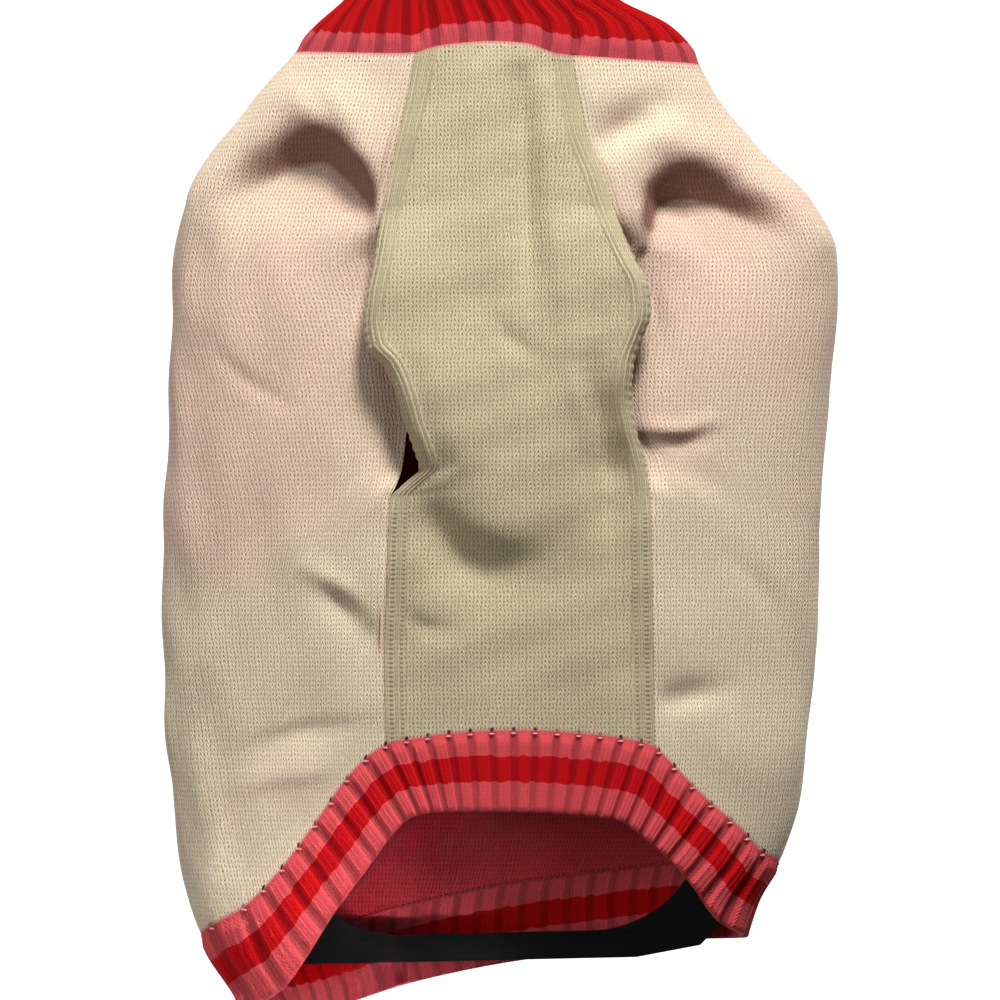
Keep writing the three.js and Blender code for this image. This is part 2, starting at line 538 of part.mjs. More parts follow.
const OUTLINE_STEPS = 2;
const WINDOW_STEPS = 8;
function hangerOutline(inward) {
  const side = (turn, sign) => HANGER_SIDE.map(({ drop, inset }) => {
    const normal = tubeNormal(turn, drop);
    const point = tubePoint(turn, drop).addScaledVector(normal, -(BODY_WALL + HANGER_CLEARANCE + inset));
    return new THREE.Vector2(point.x + sign * inward, point.z);
  });
  const bottom = NECK_SEAM_Z - HANGER_BOTTOM_DROP + inward;
  const shape = new THREE.Shape();
  const left = side(-0.25, 1);
  const right = side(0.25, -1).reverse();
  const stemTop = NECK_SEAM_Z + NECK_BAND_HEIGHT;
  const shoulder = NECK_SEAM_Z - 10 - inward;
  const radius = HANGER_CORNER;
  shape.moveTo(-NECK_HALF_WIDTH, inward > 0 ? shoulder : stemTop);
  shape.lineTo(-NECK_HALF_WIDTH, shoulder);
  shape.splineThru([new THREE.Vector2(-34, shoulder - 3), ...left]);
  const footLeft = HANGER_FOOT.left + inward;
  const footRight = HANGER_FOOT.right - inward;
  shape.quadraticCurveTo(footLeft - 2, bottom + 3 * radius, footLeft, bottom + radius);
  shape.quadraticCurveTo(footLeft + 1, bottom, footLeft + radius, bottom);
  shape.lineTo(footRight - HANGER_SWEEP, bottom);
  shape.quadraticCurveTo(footRight - radius / 2, bottom, footRight, bottom + 1.5 * radius);
  shape.quadraticCurveTo(footRight + 2, bottom + 3 * radius, right[0].x, right[0].y);
  const stemFoot = new THREE.Vector2(NECK_HALF_WIDTH, shoulder);
  shape.splineThru([...right.slice(1), new THREE.Vector2(34, shoulder - 3), stemFoot]);
  shape.lineTo(NECK_HALF_WIDTH, inward > 0 ? shoulder : stemTop);
  return shape.getPoints(OUTLINE_STEPS);
}

// The window in the web: a rounded opening with broad corners
function hangerWindow() {
  const left = HANGER_FOOT.left + 8;
  const right = HANGER_FOOT.right - 8;
  const bottom = NECK_SEAM_Z - HANGER_BOTTOM_DROP + HANGER_RIM_WIDTH + 1.6;
  const top = NECK_SEAM_Z - 30;
  const r = WINDOW_CORNER;
  const shape = new THREE.Shape();
  shape.moveTo(left + r, bottom);
  shape.lineTo(right - r, bottom);
  shape.absarc(right - r, bottom + r, r, -Math.PI / 2, 0);
  shape.lineTo(right, top - r);
  shape.absarc(right - r, top - r, r, 0, Math.PI / 2);
  shape.lineTo(left + r, top);
  shape.absarc(left + r, top - r, r, Math.PI / 2, Math.PI);
  shape.lineTo(left, bottom + r);
  shape.absarc(left + r, bottom + r, r, Math.PI, 1.5 * Math.PI);
  return shape.getPoints(WINDOW_STEPS);
}

// The foot hangs a little lower on its left.
function leaned(points) {
  return points.map(({ x, y }) => {
    const foot = smoothstep(190, 250, NECK_SEAM_Z - y);
    return new THREE.Vector2(x, y + HANGER_LEAN * x * foot);
  });
}

// A flat plate of even depth across the hanger's plane, from an outline and the openings in it
function slab(outline, holes, depth) {
  const shape = new THREE.Shape(leaned(outline));
  shape.holes = holes.map((hole) => new THREE.Path(leaned(hole)));
  const geometry = new THREE.ExtrudeGeometry(shape, { depth, bevelEnabled: false });
  geometry.translate(0, 0, -depth / 2);
  geometry.rotateX(Math.PI / 2);
  return geometry;
}

// The hook: a square bar that rises from the stem and bends round the throat
function hookGeometry() {
  const radius = HOOK_THROAT + HOOK_THICKNESS / 2;
  const centre = -HOOK_THROAT;
  const path = new THREE.CurvePath();
  const foot = new THREE.Vector3(0, 0, NECK_SEAM_Z + NECK_BAND_HEIGHT - 4);
  const neck = new THREE.Vector3(0, 0, centre - radius - 8);
  const start = THREE.MathUtils.degToRad(-52);
  const at = (angle) => new THREE.Vector3(radius * Math.cos(angle), 0, centre + radius * Math.sin(angle));
  path.add(new THREE.LineCurve3(foot, neck));
  const tangent = new THREE.Vector3(-Math.sin(start), 0, Math.cos(start)).multiplyScalar(-9);
  const rising = neck.clone().add(new THREE.Vector3(0, 0, 6));
  path.add(new THREE.CubicBezierCurve3(neck, rising, at(start).add(tangent), at(start)));
  const arcPoints = [];
  const arcSteps = 18;
  for (let i = 0; i <= arcSteps; i += 1) {
    arcPoints.push(at(lerp(start, THREE.MathUtils.degToRad(HOOK_TIP_DEG), i / arcSteps)));
  }
  path.add(new THREE.CatmullRomCurve3(arcPoints));
  const half = HOOK_THICKNESS / 2;
  const chamfer = 1.1;
  const section = new THREE.Shape([
    [-half, -half + chamfer], [-half + chamfer, -half], [half - chamfer, -half], [half, -half + chamfer],
    [half, half - chamfer], [half - chamfer, half], [-half + chamfer, half], [-half, half - chamfer],
  ].map(([x, y]) => new THREE.Vector2(x, y)));
  return new THREE.ExtrudeGeometry(section, { steps: 40, extrudePath: path });
}

const wasm = await Module();
wasm.setup();

function toSolid(geometry) {
  const bare = geometry.clone();
  bare.deleteAttribute('normal');
  bare.deleteAttribute('uv');
  const merged = mergeVertices(bare, 1e-4);
  return new wasm.Manifold(new wasm.Mesh({
    numProp: 3,
    vertProperties: new Float32Array(merged.attributes.position.array),
    triVerts: new Uint32Array(merged.index.array),
  }));
}

function toGeometry(solid) {
  const mesh = solid.getMesh();
  const geometry = new THREE.BufferGeometry();
  geometry.setAttribute('position', new THREE.BufferAttribute(new Float32Array(mesh.vertProperties), 3));
  geometry.setIndex(new THREE.BufferAttribute(new Uint32Array(mesh.triVerts), 1));
  return geometry;
}

function hangerGeometry() {
  const inner = hangerOutline(HANGER_RIM_WIDTH);
  const rim = slab(hangerOutline(0), [inner], HANGER_RIM_DEPTH);
  const web = slab(hangerOutline(1), [hangerWindow()], HANGER_WEB);
  const ridgeDepth = HANGER_RIM_DEPTH + 2 * HANGER_RIDGE;
  const ridge = slab(hangerOutline(HANGER_RIM_WIDTH - RIDGE_WIDTH), [inner], ridgeDepth);
  return toGeometry(toSolid(rim).add(toSolid(web)).add(toSolid(ridge)).add(toSolid(hookGeometry())));
}

function piece(name, geometry, colour, roughness) {
  geometry.computeVertexNormals();
  const material = new THREE.MeshStandardMaterial({ color: colour, roughness, metalness: 0 });
  const mesh = new THREE.Mesh(geometry, material);
  mesh.name = name;
  return mesh;
}

const sweater = new THREE.Group();
sweater.add(piece('belly_panel', bellyPanel(), COLOURS.belly, 0.95));
sweater.add(piece('back_panel', backPanel(), COLOURS.body, 0.95));
sweater.add(piece('neck_rib', neckBand(), COLOURS.neck, 0.9));
sweater.add(piece('hem_rib', hemBand(), COLOURS.hem, 0.9));
sweater.add(piece('hanger', hangerGeometry(), COLOURS.hanger, 0.35));

export default sweater;
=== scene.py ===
import functools
import math

import bmesh
import bpy
import numpy as np
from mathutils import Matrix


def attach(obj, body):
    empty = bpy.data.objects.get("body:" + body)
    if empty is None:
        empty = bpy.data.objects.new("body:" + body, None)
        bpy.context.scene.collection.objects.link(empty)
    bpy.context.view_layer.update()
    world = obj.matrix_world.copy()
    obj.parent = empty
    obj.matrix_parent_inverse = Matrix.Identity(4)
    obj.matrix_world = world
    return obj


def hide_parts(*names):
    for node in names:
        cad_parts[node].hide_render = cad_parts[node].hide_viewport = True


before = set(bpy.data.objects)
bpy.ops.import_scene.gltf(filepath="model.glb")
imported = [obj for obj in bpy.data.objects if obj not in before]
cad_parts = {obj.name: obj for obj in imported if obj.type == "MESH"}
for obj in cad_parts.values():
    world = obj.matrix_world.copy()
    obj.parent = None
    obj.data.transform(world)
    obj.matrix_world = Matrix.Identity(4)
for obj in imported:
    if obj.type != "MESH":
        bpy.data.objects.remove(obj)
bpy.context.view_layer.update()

# Belly panel. One piece of plain knit in cream acrylic, hung neck up with its right side out. It is sewn to the
# back panel above and below each leg opening, and its edge along an opening is a selvedge that rolls under.
# All the sweater's pieces lie on one tube of sections, given in millimetres by the drop below the neck seam.
MM = 0.001
NECK_SEAM_Z = -99.0
SECTION_POWER = 2.5
SECTION_HALF_WIDTH = 105.0
SECTION_HALF_DEPTH = 28.0
KNIT_THICK = 2.0
SEAM_GAP = 0.1
BAND_GAP = 0.06


def table(names, *rows):
    return [dict(zip(names.split(), row)) for row in rows]


SECTIONS = table(
    "drop left right front back",
    (-28, -40, 24, 14.5, 14.5),
    (-22, -42.5, 28.5, 15.5, 15),
    (-15, -49, 38, 17, 16.5),
    (-7.5, -57.5, 53, 19.5, 18),
    (0, -64.5, 60.5, 22, 20),
    (16, -78.5, 69.5, 24.5, 23),
    (32, -91, 83.5, 26.5, 25.5),
    (47, -99.5, 98.5, 28, 27.5),
    (63, -102.5, 106, 29, 29),
    (79, -103.5, 106.5, 29.5, 30),
    (111, -104.5, 103.5, 30, 31),
    (142, -106, 101.5, 30, 31),
    (174, -106.5, 100.5, 29.5, 30.5),
    (205, -106, 98.5, 28.5, 29.5),
    (237, -103.5, 94.5, 27, 28),
    (253, -101, 89.5, 26, 27),
    (269, -98, 80.5, 25, 26),
    (284, -92, 76.5, 24, 25),
    (300, -82, 75.5, 23, 24),
    (318, -77, 75, 22, 23),
)

# The hem band's sewn edge (top) and free edge (bottom), by rib from the left side across the belly and round
# the back
NECK_RIBS, HEM_RIBS = 32, 59
HEM_STATIONS = table(
    "rib side top_x top_drop bottom_x bottom_drop",
    (0, "left", 0, 279.5, 0, 305),
    (1.8, "belly", -81.2, 270, -68.6, 295.5),
    (3, "belly", -73.6, 263, -59.4, 283),
    (5.5, "belly", -60, 246, -46.8, 264),
    (8.2, "belly", -46.3, 227, -33.2, 246),
    (9.3, "belly", -39.5, 220.6, -27.8, 241),
    (10.2, "belly", -33.9, 217.6, -24, 239.8),
    (11.2, "belly", -27.2, 216.4, -20, 239.3),
    (13.5, "belly", -12, 214.4, -9.5, 239),
    (16.2, "belly", 6.3, 213.8, 6, 239.2),
    (19.4, "belly", 28, 215, 23.4, 240.2),
    (21.9, "belly", 44.2, 217.5, 35.4, 241.6),
    (22.6, "belly", 48.5, 219, 38.6, 242.6),
    (23.4, "belly", 52, 222.5, 42, 245),
    (25.8, "belly", 65.7, 236.4, 52.5, 254),
    (27.5, "belly", 75.8, 245.2, 61.6, 264.5),
    (28.9, "belly", 82.8, 252.5, 70, 275),
    (30.2, "right", 0, 256, 0, 280),
    (34.2, "back", 63, 257, 60, 281.5),
    (38.6, "back", 32, 260, 32, 285),
    (43, "back", 0, 264.5, 0, 289.5),
    (47.6, "back", -32, 271.5, -30, 296),
    (51.3, "back", -57, 278.5, -51, 302.5),
    (54.8, "back", -79, 283, -67, 306),
)
NECK_STATIONS = table(
    "turn drop",
    (-0.25, 0),
    (-0.1, 1.4),
    (-0.058, -1.2),
    (0, -2.4),
    (0.036, -1.8),
    (0.074, 1.6),
    (0.25, 4),
    (0.5, -4),
    (0.75, 0),
)

# The panels' long edges as x at each drop, and how far each stands out of the tube along the leg openings
EDGES = table(
    "drop belly_left back_left belly_right back_right",
    (0, -26, -26, 22.5, 22.5),
    (12, -28.5, -28.5, 24.5, 24.5),
    (24, -31.2, -31.2, 26.5, 26.5),
    (38, -34.5, -34.5, 31.5, 31.5),
    (50, -37.2, -37.2, 35.6, 35.6),
    (56, -38.3, -38.7, 38, 38.4),
    (60, -38.8, -38.6, 39.8, 39.4),
    (66, -39.8, -37, 42.6, 39),
    (74, -41.4, -35, 46.2, 38.6),
    (82, -42.2, -33.5, 46.8, 38.2),
    (90, -41, -32.4, 44.4, 37.6),
    (98, -36, -31.4, 41.8, 37),
    (108, -32.2, -30.4, 41, 36.8),
    (118, -29.6, -29.6, 42.6, 38.6),
    (126, -27, -30.2, 45, 45.4),
    (132, -25.4, -31, 46.6, 46.6),
    (136.5, -30.5, -32.6, 47, 47),
    (140, -34.4, -34.4, 47.3, 47.3),
    (150, -35, -35, 47.5, 47.5),
    (170, -35.6, -35.6, 47.8, 47.8),
    (190, -36.2, -36.2, 48.2, 48.2),
    (218, -35.6, -35.6, 48.8, 48.8),
)
EDGE_LIFTS = table(
    "drop belly_left back_left belly_right back_right",
    (50, 0, 0, 0, 0),
    (60, 2.8, -2, 2.8, -2),
    (74, 6.5, -4, 6, -4),
    (98, 7.5, -5, 5.8, -4.4),
    (118, 6, -4, 3.2, -3),
    (126, 4.4, -3, 1.4, -1.8),
    (133, 2.4, -1.2, 0, 0),
    (140, 0, 0, 0, 0),
)
LEG_TOP, LEG_BOTTOM = 52.0, 138.0
LAST_ROW = 216.0


def column(rows, along, key):
    """Monotone cubic interpolation of one column of a table against another."""
    at = np.array([row[along] for row in rows], float)
    value = np.array([row[key] for row in rows], float)
    slope = np.diff(value) / np.diff(at)
    tangent = np.concatenate([slope[:1], np.zeros(len(slope) - 1), slope[-1:]])
    before, after = slope[:-1], slope[1:]
    bends = before * after > 0
    tangent[1:-1][bends] = 2 * before[bends] * after[bends] / (before[bends] + after[bends])

    def curve(query):
        x = np.clip(query, at[0], at[-1])
        i = np.clip(np.searchsorted(at, x, side="right") - 1, 0, len(at) - 2)
        span = at[i + 1] - at[i]
        t = (x - at[i]) / span
        u = 1 - t
        start = u * u * (1 + 2 * t) * value[i] + t * u * u * span * tangent[i]
        return start + t * t * (3 - 2 * t) * value[i + 1] - t * t * u * span * tangent[i + 1]

    return curve


def columns(rows, along, *keys):
    return {key: column(rows, along, key) for key in keys}


def smoothstep(low, high, x):
    t = np.clip((x - low) / (high - low), 0, 1)
    return t * t * (3 - 2 * t)


angle = np.linspace(0, 2 * math.pi, 1441)
oblong_across = np.sign(np.sin(angle)) * np.abs(np.sin(angle)) ** (2 / SECTION_POWER)
oblong_ahead = -np.sign(np.cos(angle)) * np.abs(np.cos(angle)) ** (2 / SECTION_POWER)
oblong_steps = np.hypot(
    np.diff(oblong_across) * SECTION_HALF_WIDTH, np.diff(oblong_ahead) * SECTION_HALF_DEPTH
)
oblong_length = np.concatenate([[0], np.cumsum(oblong_steps)])
section = columns(SECTIONS, "drop", "left", "right", "front", "back")
edge_x = columns(EDGES, "drop", "belly_left", "back_left", "belly_right", "back_right")
edge_lift = columns(EDGE_LIFTS, "drop", "belly_left", "back_left", "belly_right", "back_right")


def unit_section(turn):
    """A rounded oblong. turn is 0 at the belly, 0.25 at the right side, 0.5 at the back, 0.75 at the left."""
    target = (turn % 1.0) * oblong_length[-1]
    return np.interp(target, oblong_length, oblong_across), np.interp(target, oblong_length, oblong_ahead)


def tube_point(turn, drop):
    turn, drop = np.broadcast_arrays(np.asarray(turn, float), np.asarray(drop, float))
    across, ahead = unit_section(turn)
    left, right = section["left"](drop), section["right"](drop)
    depth = np.where(ahead < 0, section["front"](drop), section["back"](drop))
    x = (left + right) / 2 + (right - left) / 2 * across
    return np.stack([x, depth * ahead, NECK_SEAM_Z - drop], axis=-1)


def tube_normal(turn, drop):
    along = tube_point(turn + 0.004, drop) - tube_point(turn - 0.004, drop)
    down = tube_point(turn, drop + 1.5) - tube_point(turn, drop - 1.5)
    normal = np.cross(down, along)
    return normal / np.linalg.norm(normal, axis=-1, keepdims=True)


def turn_at(x, drop, side):
    """The turn on the belly side, or on the back, where the tube has a given x."""
    if side in ("left", "right"):
        return -0.25 if side == "left" else 0.25
    x, drop = np.broadcast_arrays(np.asarray(x, float), np.asarray(drop, float))
    low = np.full(x.shape, -0.25 if side == "belly" else 0.25)
    high = low + 0.5
    for _ in range(40):
        middle = (low + high) / 2
        short = (tube_point(middle, drop)[..., 0] < x) == (side == "belly")
        low, high = np.where(short, middle, low), np.where(short, high, middle)
    return (low + high) / 2


hem_rows = [
    {
        **s,
        "top_turn": float(turn_at(s["top_x"], s["top_drop"], s["side"])),
        "bottom_turn": float(turn_at(s["bottom_x"], s["bottom_drop"], s["side"])),
    }
    for s in HEM_STATIONS
]


def lapped(row, laps):
    return {
        **row,
        "rib": row["rib"] + laps * HEM_RIBS,
        "top_turn": row["top_turn"] + laps,
        "bottom_turn": row["bottom_turn"] + laps,
    }


hem_edge = columns(
    [lapped(hem_rows[-1], -1), *hem_rows, lapped(hem_rows[0], 1), lapped(hem_rows[1], 1)],
    "rib",
    "top_turn",
    "top_drop",
    "bottom_turn",
    "bottom_drop",
)
rib_steps = np.arange(0, HEM_RIBS + 0.01, 0.25)
seam_turns, seam_drops = hem_edge["top_turn"](rib_steps), hem_edge["top_drop"](rib_steps)
hem_seam = column([{"turn": t, "drop": d} for t, d in zip(seam_turns, seam_drops)], "turn", "drop")
neck_seam = column(NECK_STATIONS, "turn", "drop")


def one_lap(turn):
    return (turn + 0.25) % 1.0 - 0.25


def row_drop_at(row_drop, turn):
    top = neck_seam(one_lap(turn)) + BAND_GAP / 2
    bottom = hem_seam(one_lap(turn)) - BAND_GAP / 2
    return top + (bottom - top) * row_drop / LAST_ROW


def sewn_fade(turn, drop):
    """Folds fade out where a panel is sewn to the neck and hem bands."""
    below, above = drop - neck_seam(one_lap(turn)), hem_seam(one_lap(turn)) - drop
    return smoothstep(0, 14, below) * smoothstep(0, 20, above)


def leg_opening(row_drop):
    """1 beside the leg openings and 0 where the two panels are sewn to each other."""
    started = smoothstep(LEG_TOP, LEG_TOP + 10, row_drop)
    return started * (1 - smoothstep(LEG_BOTTOM - 8, LEG_BOTTOM, row_drop))


def side_seam_dip(row_drop, edge_mm):
    """How far a panel sinks into a side seam. It is flush at the neck and shallow below the openings."""
    depth = (1.1 - 0.85 * smoothstep(LEG_BOTTOM, LEG_BOTTOM + 8, row_drop)) * smoothstep(-4, 12, row_drop)
    return (1 - leg_opening(row_drop)) * depth * np.exp(-((edge_mm / 1.8) ** 2))


def band_facts(turn, drop):
    """For the stitches beside a band: how far the nearer band is, and the count of its ribs there."""
    lap = one_lap(turn)
    below_neck, above_hem = drop - neck_seam(lap), hem_seam(lap) - drop
    rib = np.where(below_neck < above_hem, turn * NECK_RIBS + LEAD, np.interp(lap, seam_turns, rib_steps))
    return {"seam_mm": np.minimum(below_neck, above_hem), "rib": rib}


def fold_rise(folds, x, drop):
    """How far a family of creases and swells moves the cloth outward at points of the front view.

    Each is (spread on the left hand of its run, spread on the right hand, rows of x, drop and rise). A spread
    is one number, or two where it changes from the start of the run to its end."""
    rise = np.zeros(np.broadcast(x, drop).shape)
    for left_hand, right_hand, stations in folds:
        rows = [{"i": i, "x": a, "drop": b, "rise": c} for i, (a, b, c) in enumerate(stations)]
        at = np.linspace(0, len(rows) - 1, 6 * (len(rows) - 1) + 1)
        run = np.stack([column(rows, "i", key)(at) for key in ("x", "drop", "rise")], axis=1)
        left_spread = np.interp(at, (0, at[-1]), np.broadcast_to(left_hand, 2))
        right_spread = np.interp(at, (0, at[-1]), np.broadcast_to(right_hand, 2))
        weights, total = np.full(rise.shape, 1e-12), np.zeros(rise.shape)
        for (x0, d0, r0), (x1, d1, r1), left, right in zip(run[:-1], run[1:], left_spread, right_spread):
            dx, dy = x1 - x0, d0 - d1
            px, py = x - x0, d0 - drop
            t = np.clip((px * dx + py * dy) / (dx * dx + dy * dy), 0, 1)
            px, py = px - t * dx, py - t * dy
            distance = np.hypot(px, py) + 1e-6
            side = (dx * py - dy * px) / (distance * math.hypot(dx, dy))
            spread = right + (left - right) * (0.5 + 0.5 * side)
            weight = (distance**2 + 0.5) ** -4
            weights += weight
            total += weight * (r0 + (r1 - r0) * t) * np.exp(-((distance / spread) ** 2))
        rise += total / weights
    return rise


def soft_ripple(x, drop, seed, length, height):
    """A shallow uneven surface, as relaxed knit has, from a few crossing waves."""
    rng = np.random.default_rng(seed)
    out = np.zeros(np.broadcast(x, drop).shape)
    for _ in range(9):
        heading, phase = rng.uniform(0, 2 * math.pi, 2)
        wave = 2 * math.pi / (length * rng.uniform(0.6, 1.7))
        out += np.sin(wave * (x * math.cos(heading) + drop * math.sin(heading)) + phase)
    return out * height / 3


def in_scene(name, data):
    """A new object that holds this mesh, camera or light, in the scene."""
    thing = bpy.data.objects.new(name, data)
    bpy.context.scene.collection.objects.link(thing)
    return thing


def knit_shell(name, outer, inner, around, facts, outside, inside):
    """A closed wall through a grid of outer and inner points in millimetres. facts are values per outer point
    that the materials read. The inner face takes the second material."""
    rows, cols = outer.shape[:2]
    points = np.concatenate([outer.reshape(-1, 3), inner.reshape(-1, 3)]) * MM
    number = np.arange(2 * rows * cols).reshape(2, rows, cols)
    if around:
        number = np.concatenate([number, number[:, :, :1]], axis=2)
    out, back = number[0], number[1]
    quads = [
        np.stack([out[:-1, :-1], out[1:, :-1], out[1:, 1:], out[:-1, 1:]], -1).reshape(-1, 4),
        np.stack([back[:-1, :-1], back[:-1, 1:], back[1:, 1:], back[1:, :-1]], -1).reshape(-1, 4),
        np.stack([out[0, :-1], out[0, 1:], back[0, 1:], back[0, :-1]], -1),
        np.stack([out[-1, :-1], back[-1, :-1], back[-1, 1:], out[-1, 1:]], -1),
    ]
    if not around:
        quads.append(np.stack([out[:-1, 0], back[:-1, 0], back[1:, 0], out[1:, 0]], -1))
        quads.append(np.stack([out[:-1, -1], out[1:, -1], back[1:, -1], back[:-1, -1]], -1))
    faces = np.concatenate(quads)
    mesh = bpy.data.meshes.new(name)
    mesh.from_pydata(points.tolist(), [], faces.tolist())
    for key, value in facts.items():
        both = np.tile(np.broadcast_to(value, (rows, cols)).reshape(-1), 2).astype(np.float32)
        mesh.attributes.new(key, "FLOAT", "POINT").data.foreach_set("value", both)
    mesh.materials.append(outside)
    mesh.materials.append(inside)
    which = np.zeros(len(faces), np.int32)
    which[len(quads[0]) : 2 * len(quads[0])] = 1
    mesh.polygons.foreach_set("material_index", which)
    mesh.polygons.foreach_set("use_smooth", np.arange(len(faces)) < 2 * len(quads[0]))
    # the narrow faces along the edges stay flat, with crisp borders
    shell = bmesh.new()
    shell.from_mesh(mesh)
    for edge in shell.edges:
        edge.smooth = all(face.smooth for face in edge.link_faces)
    shell.to_mesh(mesh)
    shell.free()
    mesh.update()
    return in_scene(name, mesh)


def linear(hex_code):
    """An sRGB hex colour as linear RGBA."""
    parts = [int(hex_code[i : i + 2], 16) / 255 for i in (1, 3, 5)]
    return (*[c / 12.92 if c <= 0.04045 else ((c + 0.055) / 1.055) ** 2.4 for c in parts], 1.0)


def fill(node, inputs):
    """Links a node's input sockets to other sockets, or sets them to values."""
    for socket, value in inputs.items():
        if isinstance(value, bpy.types.NodeSocket):
            node.id_data.links.new(value, node.inputs[socket])
        else:
            node.inputs[socket].default_value = value


def add(tree, kind, inputs=None, out=0, **settings):
    """Adds a node with its settings and links, and gives one of its outputs."""
    added = tree.nodes.new(kind)
    for key, value in settings.items():
        setattr(added, key, value)
    fill(added, inputs or {})
    return added.outputs[out]


def ramp(node, value, *stops, interpolation="LINEAR"):
    """Colours against a value, from (position, hex) stops."""
    socket = node("ShaderNodeValToRGB", {0: value})
    band = socket.node.color_ramp
    band.interpolation = interpolation
    while len(band.elements) < len(stops):
        band.elements.new(0.5)
    for element, (position, hex_code) in zip(band.elements, stops):
        element.position = position
        element.color = linear(hex_code)
    return socket


# One stitch of plain knit, a V of two slanting strands. Wale counts stitches across and Course counts them
# down. Eye marks the small dark gaps at the foot of a stitch and between neighbours, half a course apart.
stitch = bpy.data.node_groups.new("knit stitch", "ShaderNodeTree")
for label in ("Wale", "Course"):
    stitch.interface.new_socket(label, in_out="INPUT", socket_type="NodeSocketFloat")
for label in ("Height", "Eye"):
    stitch.interface.new_socket(label, in_out="OUTPUT", socket_type="NodeSocketFloat")
knot = functools.partial(add, stitch)
entry = stitch.nodes.new("NodeGroupInput")
across = knot("ShaderNodeMath", {0: entry.outputs["Wale"]}, operation="FRACT")
across = knot("ShaderNodeMath", {0: across, 1: 0.5}, operation="SUBTRACT")
across = knot("ShaderNodeMath", {0: across}, operation="ABSOLUTE")
across = knot("ShaderNodeMath", {0: across, 1: 2.0}, operation="MULTIPLY")
slant = knot("ShaderNodeMath", {0: across, 1: 1.5, 2: entry.outputs["Course"]}, operation="MULTIPLY_ADD")
phase = knot("ShaderNodeMath", {0: slant}, operation="FRACT")
phase = knot("ShaderNodeMath", {0: phase, 1: 0.5}, operation="SUBTRACT")
phase = knot("ShaderNodeMath", {0: phase}, operation="ABSOLUTE")
smooth = {"interpolation_type": "SMOOTHSTEP"}
rgba = {"out": 2, "data_type": "RGBA"}
crest = knot("ShaderNodeMapRange", {0: phase, 1: 0.5, 2: 0.05}, **smooth)
middle = knot("ShaderNodeMapRange", {0: across, 1: 0.0, 2: 0.32, 3: 0.62, 4: 1.0}, **smooth)
border = knot("ShaderNodeMapRange", {0: across, 1: 1.0, 2: 0.68, 3: 0.62, 4: 1.0}, **smooth)
strand = knot("ShaderNodeMath", {0: middle, 1: border}, operation="MULTIPLY")
crest = knot("ShaderNodeMath", {0: crest, 1: 0.42, 2: 0.58}, operation="MULTIPLY_ADD")
height = knot("ShaderNodeMath", {0: strand, 1: crest}, operation="MULTIPLY")
eye_x = knot("ShaderNodeMath", {0: across, 1: 0.5}, operation="PINGPONG")
eye_x = knot("ShaderNodeMapRange", {0: eye_x, 1: 0.0, 2: 0.36})
eye_y = knot("ShaderNodeMapRange", {0: phase, 1: 0.5, 2: 0.1})
eye = knot("ShaderNodeCombineXYZ", {0: eye_x, 1: eye_y})
eye = knot("ShaderNodeVectorMath", {0: eye}, out=1, operation="LENGTH")
eye = knot("ShaderNodeMapRange", {0: eye, 1: 0.2, 2: 1.0, 3: 1.0, 4: 0.0}, **smooth)
leave = stitch.nodes.new("NodeGroupOutput")
fill(leave, {"Height": height, "Eye": eye})


def bare_material(name):
    """A new material, the function that adds nodes to it, its shader and its piece's own coordinates."""
    material = bpy.data.materials.new(name)
    material.use_nodes = True
    node = functools.partial(add, material.node_tree)
    return material, node, material.node_tree.nodes["Principled BSDF"], node("ShaderNodeTexCoord", out=3)


def uneven_stitches(node, wale, course, scale, shift):
    """The stitch pattern, pushed off its place by a noise. Gives the place, the height and the eye."""
    spot = node("ShaderNodeCombineXYZ", {0: wale, 1: course})
    sway = node("ShaderNodeTexNoise", {"Vector": spot, "Scale": scale, "Detail": 2.0}, out=1)
    sway = node("ShaderNodeVectorMath", {0: sway, 1: (0.5, 0.5, 0.5)}, operation="SUBTRACT")
    sway = node("ShaderNodeVectorMath", {0: sway, 1: shift}, operation="MULTIPLY")
    spot = node("ShaderNodeVectorMath", {0: spot, 1: sway}, operation="ADD")
    moved = node("ShaderNodeSeparateXYZ", {0: spot}).node.outputs
    knit = node("ShaderNodeGroup", {"Wale": moved[0], "Course": moved[1]}, node_tree=stitch).node.outputs
    return spot, knit["Height"], knit["Eye"]


def hairy_yarn(node, shader, place, colour, relief, fleck, fuzz):
    """Short hairs, about 0.4 mm apart, fleck the colour and roughen the relief of a yarn."""
    hair = node("ShaderNodeTexNoise", {"Vector": place, "Scale": HAIRS_PER_METRE, "Detail": 2.0})
    light = node("ShaderNodeMapRange", {0: hair, 1: 0.3, 2: 0.7, 3: 1 - fleck, 4: 1 + fleck})
    colour = node("ShaderNodeVectorMath", {0: colour, "Scale": light}, operation="SCALE")
    relief = node("ShaderNodeMath", {0: hair, 1: fuzz, 2: relief}, operation="MULTIPLY_ADD")
    bump = node("ShaderNodeBump", {"Height": relief, "Strength": 0.7, "Distance": STRAND_RELIEF * MM})
    fill(shader, {"Base Color": colour, "Normal": bump})


HAIRS_PER_METRE = 2600.0
STRAND_RELIEF = 0.4
WALE_MM = 2.35
COURSE_MM = 1.46
EDGE_WALE_MM = 1.6
EDGE_WALES = 4
# Counts of wales, courses and ribs start well above zero, so that their fractions run one way
BELLY_WALE, SPINE_WALE, LEAD = 100, 200, 40
NECK_COURSES_END, HEM_COURSES_START = 80.0, 120.0
SLIT_EDGE_MM, SLIT_HALF_MM, SLIT_COURSE, SLIT_HALF_COURSES = 1.9, 0.4, 165.3, 5.5


